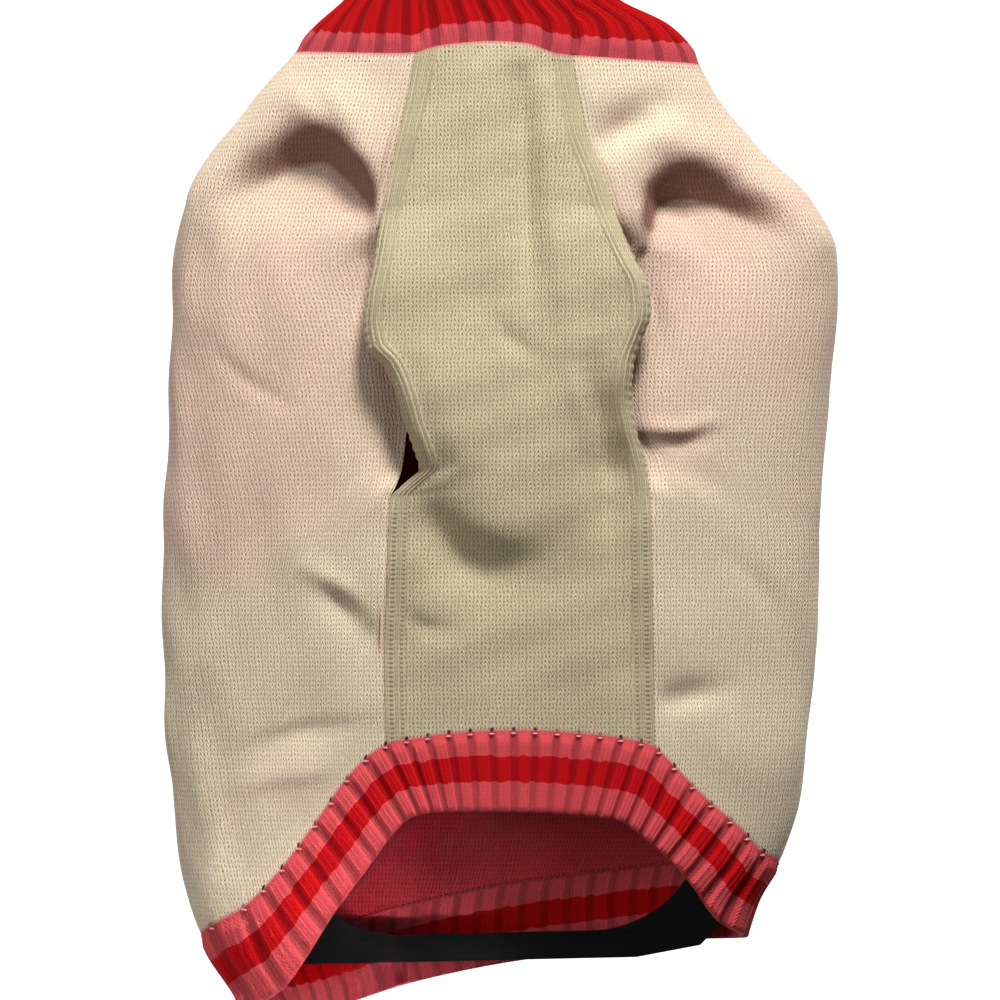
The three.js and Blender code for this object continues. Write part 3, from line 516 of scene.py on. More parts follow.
def plain_knit(name, yarn, cast, groove_shade, eye_colour, link_eyes=False, selvedge=False, slit=False):
    """Acrylic plain knit, about 2.4 mm to a wale and 1.5 mm to a course: matt and slightly hairy, with soft
    highlights on the strands. yarn and cast are the two colours that it drifts between. The third colour is
    painted shade in the grooves between the strands, and the fourth is painted shade in the eyes, the gaps
    between loops."""
    material, node, shader, place = bare_material(name)
    wale, course, edge, stretch_and_shade = (
        node("ShaderNodeAttribute", out=2, attribute_name=key)
        for key in ("wale", "course", "edge_mm", "stretch_and_shade")
    )
    if selvedge:
        follow = node("ShaderNodeMath", {0: edge, 1: EDGE_WALES * EDGE_WALE_MM}, operation="LESS_THAN")
        edge_wale = node("ShaderNodeMath", {0: edge, 1: EDGE_WALE_MM}, operation="DIVIDE")
        wale = node("ShaderNodeMix", {0: follow, 2: wale, 3: edge_wale})
    spot, strand_height, stitch_eye = uneven_stitches(node, wale, course, 0.42, (0.75, 0.75, 0.75))

    # colour drifts by a noise from yarn to cast, and towards cast where stretched and as painted shade in creases
    drift = node("ShaderNodeTexNoise", {"Vector": place, "Scale": 16.0, "Detail": 2.0})
    drift = node("ShaderNodeMapRange", {0: drift, 1: 0.35, 2: 0.65})
    drift = node("ShaderNodeMath", {0: stretch_and_shade, 1: drift}, operation="ADD", use_clamp=True)
    colour = node("ShaderNodeMix", {0: drift, 6: linear(yarn), 7: linear(cast)}, **rgba)
    # painted shade: the grooves between the strands darken towards the third colour
    groove = node("ShaderNodeMapRange", {0: strand_height, 1: 0.3, 2: 0.95, 3: 0.5, 4: 0.0})
    colour = node("ShaderNodeMix", {0: groove, 6: colour, 7: linear(groove_shade)}, **rgba)
    # painted shade: creases, overhangs and the foot of the left leg opening are multiplied towards rosy brown
    painted_fold_shade = node("ShaderNodeMapRange", {0: stretch_and_shade, 1: 0.5, 2: 1.5, 3: 0.0, 4: 0.9})
    shade = {0: painted_fold_shade, 6: colour, 7: linear("#A88683")}
    colour = node("ShaderNodeMix", shade, **rgba, blend_type="MULTIPLY")
    loose = node("ShaderNodeTexNoise", {"Vector": spot, "Scale": 0.9, "Detail": 1.0})
    tight = node("ShaderNodeMapRange", {0: loose, 1: 0.3, 2: 0.7, 3: 0.92, 4: 1.08})
    colour = node("ShaderNodeVectorMath", {0: colour, "Scale": tight}, operation="SCALE")
    loose = node("ShaderNodeMapRange", {0: loose, 1: 0.35, 2: 0.7, 3: 0.4, 4: 1.0})
    dark = node("ShaderNodeMath", {0: stitch_eye, 1: loose}, operation="MULTIPLY")
    if selvedge:
        # the side seam below the opening: one wale of rungs, then a wale of wide-open eyes
        sewn = node("ShaderNodeAttribute", out=2, attribute_name="sewn")
        rung = node("ShaderNodeMath", {0: course, 1: 2 * math.pi}, operation="MULTIPLY")
        rung = node("ShaderNodeMath", {0: rung}, operation="COSINE")
        rung = node("ShaderNodeMapRange", {0: rung, 1: -0.2, 2: 0.9, 3: 0.0, 4: 0.8})
        for middle_mm, reach_mm in ((2.0, 0.95), (5.3, 0.6)):
            near = node("ShaderNodeMath", {0: edge, 1: middle_mm}, operation="SUBTRACT")
            near = node("ShaderNodeMath", {0: near}, operation="ABSOLUTE")
            near = node("ShaderNodeMapRange", {0: near, 1: reach_mm, 2: reach_mm * 0.6})
            near = node("ShaderNodeMath", {0: near, 1: sewn}, operation="MULTIPLY")
            dark = node("ShaderNodeMix", {0: near, 2: dark, 3: rung})
    if link_eyes:
        # at each gutter of the hem band a hole gapes between the linked stitches
        rib = node("ShaderNodeAttribute", out=2, attribute_name="rib")
        seam = node("ShaderNodeAttribute", out=2, attribute_name="seam_mm")
        spaced = node("ShaderNodeMath", {0: rib, 1: 0.6}, operation="ADD")
        spaced = node("ShaderNodeMath", {0: spaced}, operation="FRACT")
        spaced = node("ShaderNodeMapRange", {0: spaced, 1: 0.38, 2: 0.62, 3: -1.0, 4: 1.0}, clamp=False)
        beyond = node("ShaderNodeMapRange", {0: seam, 1: -0.4, 2: 1.5, 3: -1.0, 4: 1.0}, clamp=False)
        hole = node("ShaderNodeCombineXYZ", {0: spaced, 1: beyond})
        hole = node("ShaderNodeVectorMath", {0: hole}, out=1, operation="LENGTH")
        hole = node("ShaderNodeMapRange", {0: hole, 1: 0.45, 2: 0.95, 3: 1.0, 4: 0.0})
        open_wide = node("ShaderNodeTexNoise", {"Vector": place, "Scale": 120.0, "Detail": 0.0})
        open_wide = node("ShaderNodeMapRange", {0: open_wide, 1: 0.35, 2: 0.6, 3: 0.45, 4: 1.0})
        hole = node("ShaderNodeMath", {0: hole, 1: open_wide}, operation="MULTIPLY")
        at_hem = node("ShaderNodeMath", {0: course, 1: HEM_COURSES_START}, operation="GREATER_THAN")
        hole = node("ShaderNodeMath", {0: hole, 1: at_hem}, operation="MULTIPLY")
        # below the neck seam one course of stitches is pulled open here and there
        tick = node("ShaderNodeMath", {0: seam, 1: 2.3}, operation="SUBTRACT")
        tick = node("ShaderNodeMath", {0: tick}, operation="ABSOLUTE")
        tick = node("ShaderNodeMapRange", {0: tick, 1: 1.0, 2: 0.5})
        pulled = node("ShaderNodeTexNoise", {"Vector": place, "Scale": 330.0, "Detail": 0.0})
        pulled = node("ShaderNodeMapRange", {0: pulled, 1: 0.5, 2: 0.6})
        at_neck = node("ShaderNodeMath", {0: course, 1: NECK_COURSES_END}, operation="LESS_THAN")
        for share in (pulled, stitch_eye, at_neck):
            tick = node("ShaderNodeMath", {0: tick, 1: share}, operation="MULTIPLY")
        hole = node("ShaderNodeMath", {0: hole, 1: tick}, operation="MAXIMUM")
        dark = node("ShaderNodeMath", {0: dark, 1: hole}, operation="MAXIMUM")
        dark = node("ShaderNodeMath", {0: dark, 1: 1.0}, operation="MINIMUM")
    # painted shade: the eyes, the seam's open eyes and the linking holes darken towards the fourth colour
    dark_share = node("ShaderNodeMath", {0: dark, 1: 0.8}, operation="MULTIPLY")
    colour = node("ShaderNodeMix", {0: dark_share, 6: colour, 7: linear(eye_colour)}, **rgba)
    if link_eyes:
        # the cream stitches are linked through loops of the pink band, which tint the last course
        blush = node("ShaderNodeMath", {0: strand_height, 1: 1.3, 2: seam}, operation="MULTIPLY_ADD")
        blush = node("ShaderNodeMapRange", {0: blush, 1: 2.2, 2: 1.3, 3: 0.0, 4: 0.8})
        colour = node("ShaderNodeMix", {0: blush, 6: colour, 7: linear("#D9737B")}, **rgba)
        # painted shade: the linking holes are painted near black
        hole = node("ShaderNodeMapRange", {0: hole, 1: 0.2, 2: 0.9, 3: 0.0, 4: 0.9})
        colour = node("ShaderNodeMix", {0: hole, 6: colour, 7: linear("#2A1310")}, **rgba)
    if slit:
        # a wale beside the left side seam gapes a little, and the coral side shows through
        beside = node("ShaderNodeMath", {0: edge, 1: SLIT_EDGE_MM}, operation="SUBTRACT")
        beside = node("ShaderNodeMath", {0: beside, 1: SLIT_HALF_MM}, operation="DIVIDE")
        along = node("ShaderNodeMath", {0: course, 1: SLIT_COURSE}, operation="SUBTRACT")
        along = node("ShaderNodeMath", {0: along, 1: SLIT_HALF_COURSES}, operation="DIVIDE")
        gape = node("ShaderNodeCombineXYZ", {0: beside, 1: along})
        gape = node("ShaderNodeVectorMath", {0: gape}, out=1, operation="LENGTH")
        gape = node("ShaderNodeMapRange", {0: gape, 1: 1.0, 2: 0.6, 3: 0.0, 4: 0.85})
        on_left = node("ShaderNodeMath", {0: wale, 1: SPINE_WALE}, operation="GREATER_THAN")
        gape = node("ShaderNodeMath", {0: gape, 1: on_left}, operation="MULTIPLY")
        colour = node("ShaderNodeMix", {0: gape, 6: colour, 7: linear("#C23436")}, **rgba)

    relief = node("ShaderNodeMath", {0: dark, 1: -0.6, 2: strand_height}, operation="MULTIPLY_ADD")
    if selvedge:
        # the first four wales stand up as cords along the edge
        cord = node("ShaderNodeMath", {0: edge, 1: 2 * math.pi / EDGE_WALE_MM}, operation="MULTIPLY")
        cord = node("ShaderNodeMath", {0: cord}, operation="COSINE")
        cord = node("ShaderNodeMath", {0: cord, 1: follow}, operation="MULTIPLY")
        relief = node("ShaderNodeMath", {0: cord, 1: -0.9, 2: relief}, operation="MULTIPLY_ADD")
    hairy_yarn(node, shader, place, colour, relief, fleck=0.14, fuzz=0.22)
    fill(shader, {"Roughness": 0.92, "Specular IOR Level": 0.15, "Sheen Weight": 0.1, "Sheen Roughness": 0.45})
    return material


BELLY_FOLDS = [
    (34, 30, [(-4, 78, 2), (-6, 110, 4.5), (-6, 135, 4)]),
    (8, 11, [(-25, 139, -1.5), (-21, 149, -4.5), (-12, 158, -5.2), (2, 163, -4), (18, 161, -1)]),
    (4, 5.5, [(6, 8, -1.5), (7.5, 26, -3.6), (8.5, 55, -3.6), (9, 80, -1)]),
    (6, 4, [(14.5, 12, 1), (16, 34, 2), (18, 66, 1.7), (22, 92, 0.5)]),
    (8, 6, [(28.5, 90, -1), (31, 114, -4.2), (34, 136, -4), (38, 165, -2), (42, 192, -0.7)]),
]
BELLY_FINE_FOLDS = [
    (3, 3, [(-20, 6, -0.5), (-22, 24, -1.1), (-25, 44, -0.6)]),
    (4, 3, [(-8, 4, 0.4), (-9, 22, 0.9), (-7, 44, 0.3)]),
    (3, 3.5, [(-2, 84, -0.3), (4, 92, -0.9), (12, 97, -0.3)]),
    (4, 3, [(22, 102, 0.4), (27, 118, 1.3), (32, 139, 0.6)]),
    (3, 4, [(-30, 176, -0.3), (-24, 181, -0.8), (-14, 183, -0.2)]),
]
BELLY_COLUMNS, BELLY_ROWS = 97, 300
SCALLOP = 0.22
ROLL_MM, ROLL_DEPTH = 4.2, 2.2

share, row_drop = np.meshgrid(np.linspace(0, 1, BELLY_COLUMNS), np.linspace(0, LAST_ROW, BELLY_ROWS))
left_x = edge_x["belly_left"](row_drop) + SEAM_GAP / 2
right_x = edge_x["belly_right"](row_drop) - SEAM_GAP / 2
opening = leg_opening(row_drop)
x = left_x + (right_x - left_x) * share
edge_mm = np.minimum(x - left_x, right_x - x)
bump_every_other_course = np.cos(2 * math.pi * row_drop / (2 * COURSE_MM))
scallop = SCALLOP * opening * bump_every_other_course * np.exp(-((edge_mm / 2) ** 2))
x += np.where(share < 0.5, -scallop, scallop)
turn = turn_at(x, row_drop, "belly")
drop = row_drop_at(row_drop, turn)
lift = edge_lift["belly_left"](row_drop) * (1 - smoothstep(0, 0.42, share))
lift += edge_lift["belly_right"](row_drop) * (1 - smoothstep(0, 0.42, 1 - share))
inside = smoothstep(0, 0.2, share) * smoothstep(0, 0.2, 1 - share)
rise = fold_rise(BELLY_FOLDS, x, drop) * inside
rise += fold_rise(BELLY_FINE_FOLDS, x, drop) + soft_ripple(x, drop, 3, 26, 0.35)
rise = rise * sewn_fade(turn, drop) + lift

# Along a leg opening the selvedge swells a little and then rolls under
roll = np.clip(1 - edge_mm / ROLL_MM, 0, 1)
rise += opening * (0.7 * np.exp(-(((edge_mm - 4) / 2.2) ** 2)) - ROLL_DEPTH * roll**2.2)
rise -= side_seam_dip(row_drop, edge_mm)
normal = tube_normal(turn, drop)
base = tube_point(turn, drop)
pinch = 1 - opening * 0.45 * np.clip(1 - edge_mm / 1.2, 0, 1)
outer = base + normal * (rise - KNIT_THICK / 2 * (1 - pinch))[..., None]
inner = base + normal * (rise - KNIT_THICK / 2 * (1 + pinch))[..., None]
# painted shade: a rosy-brown patch at the foot of the left leg opening
shade_under_left_opening = np.exp(-(((row_drop - 134.5) / 3.5) ** 2) - ((x - left_x) / 5) ** 2)
facts = {
    "stretch_and_shade": 1.2 * shade_under_left_opening,
    "wale": x / WALE_MM + BELLY_WALE,
    "course": drop / COURSE_MM + LEAD,
    "edge_mm": edge_mm,
    "sewn": smoothstep(LEG_BOTTOM + 2, LEG_BOTTOM + 8, row_drop),
    **band_facts(turn, drop),
}
cream = ("#E0D1AD", "#D6C7A3", "#A39370", "#6B5A3C")
belly_knit = plain_knit("cream acrylic plain knit", *cream, link_eyes=True, selvedge=True)
dull_cream = ("#C8A98C", "#C39A80", "#7A4B3C", "#5A2018")
belly_inside = plain_knit("cream acrylic plain knit, wrong side", *dull_cream, selvedge=True)
belly = knit_shell("belly_panel_knit", outer, inner, False, facts, belly_knit, belly_inside)
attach(belly, "root")
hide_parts("belly_panel")

# Back panel. One piece of the same knit that wraps both sides and the back. It is plated: cream yarn outside
# over coral inside, which glows through as a pink cast and shows in the eyes of the stitches.
BACK_FOLDS = [
    ((10, 3), 30, [(-95, 53, -1), (-88, 48, -3.5), (-80, 44, -6.5), (-71.5, 39.5, -9.5), (-63.5, 35.3, -11),
                   (-57, 34, -11), (-50.5, 38.5, -10.5), (-44.8, 46, -8.5), (-40.5, 53.5, -5),
                   (-37.5, 60, -2)]),
    (10, 8, [(-66, 14, 1.5), (-55, 21, 3.5), (-45, 33, 3.5), (-38, 44, 2)]),
    ((3, 10), 30, [(48.5, 62, -5), (50, 53, -9), (53, 47, -11.5), (59, 45, -12), (66, 46.5, -11),
                   (74, 51, -9.5), (83, 56, -7), (91, 61, -3.5), (98, 66, -1)]),
    (8, 7, [(46, 24, 0.8), (53, 28, 2.4), (60, 32, 2.2), (68, 34, 1)]),
    (7, 5, [(32, 30, -2), (41, 24, -4.2), (50, 19, -2)]),
    (3.5, 6, [(-58, 168, -0.4), (-48, 175, -2), (-41, 184, -1)]),
    (5, 4, [(50, 206, -1), (59, 203, -1.8), (70, 201, -0.6)]),
]
BACK_FINE_FOLDS = [
    (4, 4, [(-62, 8, -0.3), (-56, 18, -1.2), (-48, 30, -0.5)]),
    (3, 3, [(-92, 92, -0.3), (-80, 104, -0.9), (-66, 112, -0.3)]),
    (4, 3, [(-60, 163, 0.5), (-50, 169.5, 1.3), (-43, 178, 0.4)]),
    (3, 5, [(-80, 220, -0.3), (-62, 214, -1), (-42, 212, -0.4)]),
    (5, 3, [(-84, 232, 0.3), (-66, 228, 0.8), (-46, 226, 0.3)]),
    (2.5, 3.5, [(47, 123, -0.8), (56, 124, -1.4), (66, 121, -0.4)]),
    (3, 2.5, [(46, 119, 0.7), (56, 120, 1.2), (67, 117, 0.4)]),
    (3, 3, [(44, 70, -0.5), (50, 84, -1), (52, 100, -0.3)]),
    (4, 4, [(74, 160, -0.3), (84, 172, -0.9), (90, 190, -0.3)]),
    (3, 3, [(54, 230, -0.3), (64, 236, -0.9), (76, 240, -0.3)]),
]
REVERSE_FOLDS = [
    (13, 8, [(-84, 52, -1), (-66, 46, -4.5), (-44, 52, -1)]),
    (13, 8, [(46, 58, -1), (70, 50, -5), (88, 58, -1)]),
    (12, 12, [(-52, 214, -1), (-14, 190, -3), (30, 172, -1)]),
    (4, 5, [(-70, 96, -0.4), (-40, 108, -1.2), (-8, 110, -0.4)]),
    (4, 4, [(20, 132, -0.4), (46, 140, -1.2), (74, 138, -0.4)]),
    (4, 5, [(-30, 236, -0.4), (4, 232, -1), (34, 226, -0.3)]),
]
WALE_SPREAD = table(
    "drop pitch",
    *((-30, 2.1), (0, 2.15), (40, 2.45), (75, 2.62), (110, 2.53), (150, 2.42), (200, 2.4), (310, 2.36)),
)
BACK_ROWS = 172
# The grid is finer on both front thirds, where the creases are: start, end and count of columns
BACK_COLUMNS = ((0, 0.155, 54), (0.155, 0.26, 28), (0.26, 0.74, 80), (0.74, 0.845, 28), (0.845, 1, 54))

shares = np.concatenate([np.linspace(a, b, count, endpoint=False) for a, b, count in BACK_COLUMNS] + [[1.0]])
back_rows = np.linspace(0, LAST_ROW, BACK_ROWS)
share, row_drop = np.meshgrid(shares, back_rows)
first = turn_at(edge_x["back_right"](back_rows) + SEAM_GAP / 2, back_rows, "belly")[:, None]
last = 1 + turn_at(edge_x["back_left"](back_rows) - SEAM_GAP / 2, back_rows, "belly")[:, None]
turn = first + (last - first) * share
drop = row_drop_at(row_drop, turn)
base = tube_point(turn, drop)
x = base[..., 0]
facing = -unit_section(turn)[1]
front_side, back_side = smoothstep(0.25, 0.75, facing), smoothstep(0.25, 0.75, -facing)
lift = edge_lift["back_right"](row_drop) * (1 - smoothstep(0, 0.09, share))
lift += edge_lift["back_left"](row_drop) * (1 - smoothstep(0, 0.09, 1 - share))
inside = smoothstep(0, 0.012, share) * smoothstep(0, 0.012, 1 - share)
front = fold_rise(BACK_FOLDS, x, drop) * inside + fold_rise(BACK_FINE_FOLDS, x, drop)
rise = front * front_side + fold_rise(REVERSE_FOLDS, x, drop) * back_side
rise += soft_ripple(x + 60 * facing, drop, 8, 34, 0.45)
rise = rise * sewn_fade(turn, drop) + lift
steps = np.linalg.norm(np.diff(base, axis=1), axis=2)
arc = np.concatenate([np.zeros((len(base), 1)), np.cumsum(steps, axis=1)], axis=1)
edge_mm = np.minimum(arc, arc[:, -1:] - arc)
rise -= side_seam_dip(row_drop, edge_mm)
rise -= leg_opening(row_drop) * 3.2 * np.exp(-((edge_mm / 7) ** 2))
normal = tube_normal(turn, drop)
outer = base + normal * rise[..., None]
inner = base + normal * (rise - KNIT_THICK)[..., None]

# Wales are counted from the spine at the back and from the side seams in front. The counts meet round the sides.
spine = np.array([np.interp(0.5, t, a) for t, a in zip(turn, arc)])[:, None]
pitch = column(WALE_SPREAD, "drop", "pitch")(drop)
level_rows = (back_rows > 75) & (back_rows < 150)
from_spine, to_left, to_right = (arc - spine) / pitch, (arc[:, -1:] - arc) / pitch, arc / pitch
left_count = from_spine[level_rows, -1].mean()
right_count = -from_spine[level_rows, 0].mean()
from_seams = np.where(arc > spine, left_count - to_left, to_right - right_count)
wales = from_spine + (from_seams - from_spine) * smoothstep(0.02, 0.24, np.abs(turn - 0.5))

# The knit is relaxed near the hem and on the yoke. Painted shade: creases and cloth facing down are tinted rosier
relaxed = smoothstep(135, 200, drop) + 0.7 * (1 - smoothstep(10, 40, drop)) * smoothstep(0.6, 0.9, facing)
crease_shade = np.clip(-front / 7, 0, 1.2) * front_side
overhang_shade = np.clip(-np.gradient(front, axis=0) / np.gradient(drop, axis=0), 0, 1) * front_side
facts = {
    "stretch_and_shade": 0.15 - 0.9 * relaxed + 0.35 * crease_shade + 1.7 * overhang_shade,
    "wale": wales + SPINE_WALE,
    "course": drop / COURSE_MM + LEAD,
    "edge_mm": edge_mm,
    **band_facts(turn, drop),
}
warm_cream = ("#F8E9C9", "#F6D7C1", "#CBA68F", "#8E5348")
body_knit = plain_knit("plated acrylic plain knit, cream side", *warm_cream, link_eyes=True, slit=True)
coral = ("#E94850", "#DC424C", "#9C2832", "#5C1019")
body_inside = plain_knit("plated acrylic plain knit, coral side", *coral)
back = knit_shell("back_panel_knit", outer, inner, False, facts, body_knit, body_inside)
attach(back, "root")
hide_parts("back_panel")

# Ribbed bands. Each is knitted three wales proud and one sunk, and linked to the panels stitch by stitch. The
# neck band is pink for four courses and then red. The hem band is pink, red and pink.
def ribbed_knit(name, whole_mm, gutter_shade, *stripes):
    """Ribbed acrylic knit in saturated yarn: matt and dense, with painted shade in the gutters between the ribs.
    """
    material, node, shader, place = bare_material(name)
    wale, course, raised, from_seam = (
        node("ShaderNodeAttribute", out=2, attribute_name=key)
        for key in ("wale", "course", "raised", "from_seam")
    )
    spot, strand_height, _ = uneven_stitches(node, wale, course, 0.5, (0.5, 0.9, 0.0))
    uneven = node("ShaderNodeTexNoise", {"Vector": spot, "Scale": 0.6, "Detail": 0.0})
    uneven = node("ShaderNodeMapRange", {0: uneven, 1: 0.3, 2: 0.7, 3: -0.35, 4: 0.35})
    line = node("ShaderNodeMath", {0: from_seam, 1: uneven}, operation="ADD")
    line = node("ShaderNodeMath", {0: line, 1: whole_mm}, operation="DIVIDE")
    colour = ramp(node, line, *stripes, interpolation="CONSTANT")
    # painted shade between the strands, and a slight painted highlight on their tops
    groove = node("ShaderNodeMapRange", {0: strand_height, 1: 0.3, 2: 0.9, 3: 0.72, 4: 1.05})
    colour = node("ShaderNodeVectorMath", {0: colour, "Scale": groove}, operation="SCALE")
    gutter = node("ShaderNodeMapRange", {0: raised, 1: 0.05, 2: 0.5, 3: gutter_shade, 4: 1.0})
    colour = node("ShaderNodeVectorMath", {0: colour, "Scale": gutter}, operation="SCALE")
    hairy_yarn(node, shader, place, colour, strand_height, fleck=0.16, fuzz=0.25)
    fill(shader, {"Roughness": 0.9, "Specular IOR Level": 0.08, "Sheen Weight": 0.03, "Sheen Roughness": 0.5})
    return material


RIB_THICK = 1.8
RIB_RISE = 1.35
RIB_COLUMNS = 14
WALES_PER_RIB = 4
RIB_COURSE_MM = 1.35
EDGE_ROUNDING_MM = 1.2
NECK_LEVELS, HEM_LEVELS = 34, 24
NECK_BAND_HEIGHT = 26.0
NECK_WALL_MM, HEM_WALL_MM = 28.0, 25.3
# Where the neck band is creased, in line with the panels' seams: x, half width and depth
NECK_CREASES = ((-26.5, 2.2, 2.2), (24, 2, 1.8))
PINK, RED = "#E8555C", "#D20E16"
# painted shade: the neck band's pink and red are darker copies of the hem band's
SHADED_NECK_PINK, SHADED_NECK_RED = "#CC4C55", "#B60A10"


def rib_profile(phase, split):
    """0 in the gutter and 1 on the three proud wales, which bulge a little each. split sinks the middle one."""
    plateau = smoothstep(0.0, 0.17, phase) * (1 - smoothstep(0.62, 0.79, phase))
    wales = 0.2 * np.cos((phase - 0.4) / 0.21 * 2 * math.pi)
    plateau *= 1 - split * np.exp(-(((phase - 0.4) / 0.08) ** 2))
    return plateau * (0.8 + wales * smoothstep(0.1, 0.25, phase) * (1 - smoothstep(0.55, 0.7, phase)))


def ribbed_band(name, turn, drop, rib, free_mm, from_seam, material, soften, dent, split):
    """A ribbed tube on the sweater's tube. free_mm is the distance from its free edge, which is rounded."""
    raised = rib_profile(rib % 1.0, split)
    normal = tube_normal(turn, drop)
    base = tube_point(turn, drop) - normal * dent[..., None]
    near_edge = np.clip(1 - free_mm / EDGE_ROUNDING_MM, 0, 1)
    rounding = np.sqrt(np.clip(1 - near_edge**2, 0.05, 1))
    puff = RIB_RISE * raised * soften
    outer = base + normal * (puff * rounding - RIB_THICK / 2 * (1 - rounding))[..., None]
    inner = base + normal * (0.35 * puff - RIB_THICK / 2 * (1 + rounding))[..., None]
    facts = {
        "wale": rib * WALES_PER_RIB,
        "course": from_seam / RIB_COURSE_MM + 20,
        "raised": raised,
        "from_seam": from_seam,
    }
    return knit_shell(name, outer, inner, True, facts, material, material)


def band_levels(count):
    """Steps from 0 at the seam to 1 at the free edge, closer at the end, where the band is rounded."""
    even, closing = np.linspace(0, 1, count), 1 - np.array([0.035, 0.02, 0.008, 0.0])
    return np.concatenate([even[even < closing[0] - 0.01], closing])


rib, level = np.meshgrid(np.arange(NECK_RIBS * RIB_COLUMNS) / RIB_COLUMNS, band_levels(NECK_LEVELS))
turn = rib / NECK_RIBS
seam_drop = neck_seam(one_lap(turn)) - BAND_GAP / 2
drop = seam_drop + (-NECK_BAND_HEIGHT - seam_drop) * level
turn = turn + 0.6 * level * np.sin(4 * math.pi * turn) / (4 * math.pi)
from_seam = (seam_drop - drop) * 1.12
soften = smoothstep(-0.5, 5, from_seam)
neck_knit = ribbed_knit("neck rib, pink then red acrylic", 30.0, 0.55, (0.0, SHADED_NECK_PINK), (0.215, SHADED_NECK_RED))
neck_x, facing = tube_point(turn, drop)[..., 0], -unit_section(turn)[1]
dent = sum(depth * np.exp(-(((neck_x - at) / half_width) ** 2)) for at, half_width, depth in NECK_CREASES)
dent = dent * smoothstep(0.3, 0.7, facing) * smoothstep(0, 6, from_seam)
flip = slice(None, None, -1)
neck_args = [a[flip] for a in (turn, drop, rib, (1 - level) * NECK_WALL_MM, from_seam)]
neck = ribbed_band("neck_rib_knit", *neck_args, neck_knit, soften[flip], dent[flip], split=0.6)
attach(neck, "root")
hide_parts("neck_rib")

rib, level = np.meshgrid(np.arange(HEM_RIBS * RIB_COLUMNS) / RIB_COLUMNS, band_levels(HEM_LEVELS))
turn = hem_edge["top_turn"](rib) * (1 - level) + hem_edge["bottom_turn"](rib) * level
top_drop = hem_edge["top_drop"](rib) + BAND_GAP / 2
drop = top_drop + (hem_edge["bottom_drop"](rib) - top_drop) * level
line = tube_point(turn, drop)
steps = np.linalg.norm(np.diff(line, axis=0), axis=2)
from_seam = np.concatenate([np.zeros((1, line.shape[1])), np.cumsum(steps, axis=0)])
whole = from_seam[-1:]
from_seam = from_seam / whole * HEM_WALL_MM
soften = 0.15 + 0.85 * smoothstep(0, 3.5, from_seam)
hem_knit = ribbed_knit("hem rib, pink red pink acrylic", 26.0, 0.68, (0.0, PINK), (0.29, RED), (0.605, PINK))
hem_args = (turn, drop, rib, (1 - level) * whole, from_seam, hem_knit, soften)
hem = ribbed_band("hem_rib_knit", *hem_args, dent=0 * drop, split=0)
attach(hem, "root")
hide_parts("hem_rib")

# Linking seams. The bands are joined to the panels loop by loop. A chain of coral yarn lies along each seam on
# the inside, and at every gutter of the hem band a short stitch of pale pink yarn shows on the outside.
def sweep(path, side, up, radius, sides):
    """A closed yarn along a closed path, with its radius at each step."""
    around = np.linspace(0, 2 * math.pi, sides, endpoint=False)
    ring = side[:, None] * np.cos(around)[None, :, None] + up[:, None] * np.sin(around)[None, :, None]
    points = path[:, None] + ring * radius[:, None, None]
    number = np.arange(len(path) * sides).reshape(len(path), sides)
    ahead = np.roll(number, -1, axis=0)
    faces = np.stack([number, np.roll(number, -1, 1), np.roll(ahead, -1, 1), ahead], -1).reshape(-1, 4)
    return points.reshape(-1, 3), faces


def yarn_piece(name, parts, material):
    points, faces, start = [], [], 0
    for some_points, some_faces in parts:
        points.append(some_points)
        faces.append(some_faces + start)
        start += len(some_points)
    mesh = bpy.data.meshes.new(name)
    mesh.from_pydata((np.concatenate(points) * MM).tolist(), [], np.concatenate(faces).tolist())
    mesh.polygons.foreach_set("use_smooth", np.ones(len(mesh.polygons), bool))
    mesh.materials.append(material)
    mesh.update()
    piece = in_scene(name, mesh)
    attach(piece, "root")
    return piece


def spun_yarn(name, hex_code, dark_code):
    """Two-ply acrylic yarn: matt, with a fine mottle of light plies and painted shade between them."""
    material, node, shader, place = bare_material(name)
    ply = node("ShaderNodeTexNoise", {"Vector": place, "Scale": 1500.0, "Detail": 2.0})
    tint = ramp(node, ply, (0.35, dark_code), (0.62, hex_code))
    bump = node("ShaderNodeBump", {"Height": ply, "Strength": 0.6, "Distance": 0.2 * MM})
    fill(shader, {"Base Color": tint, "Normal": bump, "Roughness": 0.9, "Specular IOR Level": 0.1})
    return material


CHAIN_RADIUS = 0.6
CHAIN_DEPTH = 1.9
CHAIN_STEPS = 24
LOOPS_PER_RIB = 4
link_yarn = spun_yarn("coral acrylic linking yarn", "#CF4A50", "#A5353D")
neck_ribs, hem_ribs = (np.arange(ribs * CHAIN_STEPS) / CHAIN_STEPS for ribs in (NECK_RIBS, HEM_RIBS))
neck_turn = neck_ribs / NECK_RIBS
seam_runs = (
    ("neck_linking_chain", "neck_knit", neck_ribs, neck_turn, neck_seam(one_lap(neck_turn))),
    ("hem_linking_chain", "hem_knit", hem_ribs, hem_edge["top_turn"](hem_ribs), hem_edge["top_drop"](hem_ribs)),
)
for name, slot_name, rib, turn, drop in seam_runs:
    up = tube_normal(turn, drop)
    line = tube_point(turn, drop) - up * CHAIN_DEPTH
    ahead = np.roll(line, -1, 0) - np.roll(line, 1, 0)
    ahead /= np.linalg.norm(ahead, axis=1, keepdims=True)
    side = np.cross(ahead, up)
    loop = 2 * math.pi * rib * LOOPS_PER_RIB
    path = line + side * 0.18 * np.sin(loop)[:, None]
    chain = yarn_piece(name, [sweep(path, side, up, CHAIN_RADIUS * (1 + 0.22 * np.cos(loop)), 8)], link_yarn)

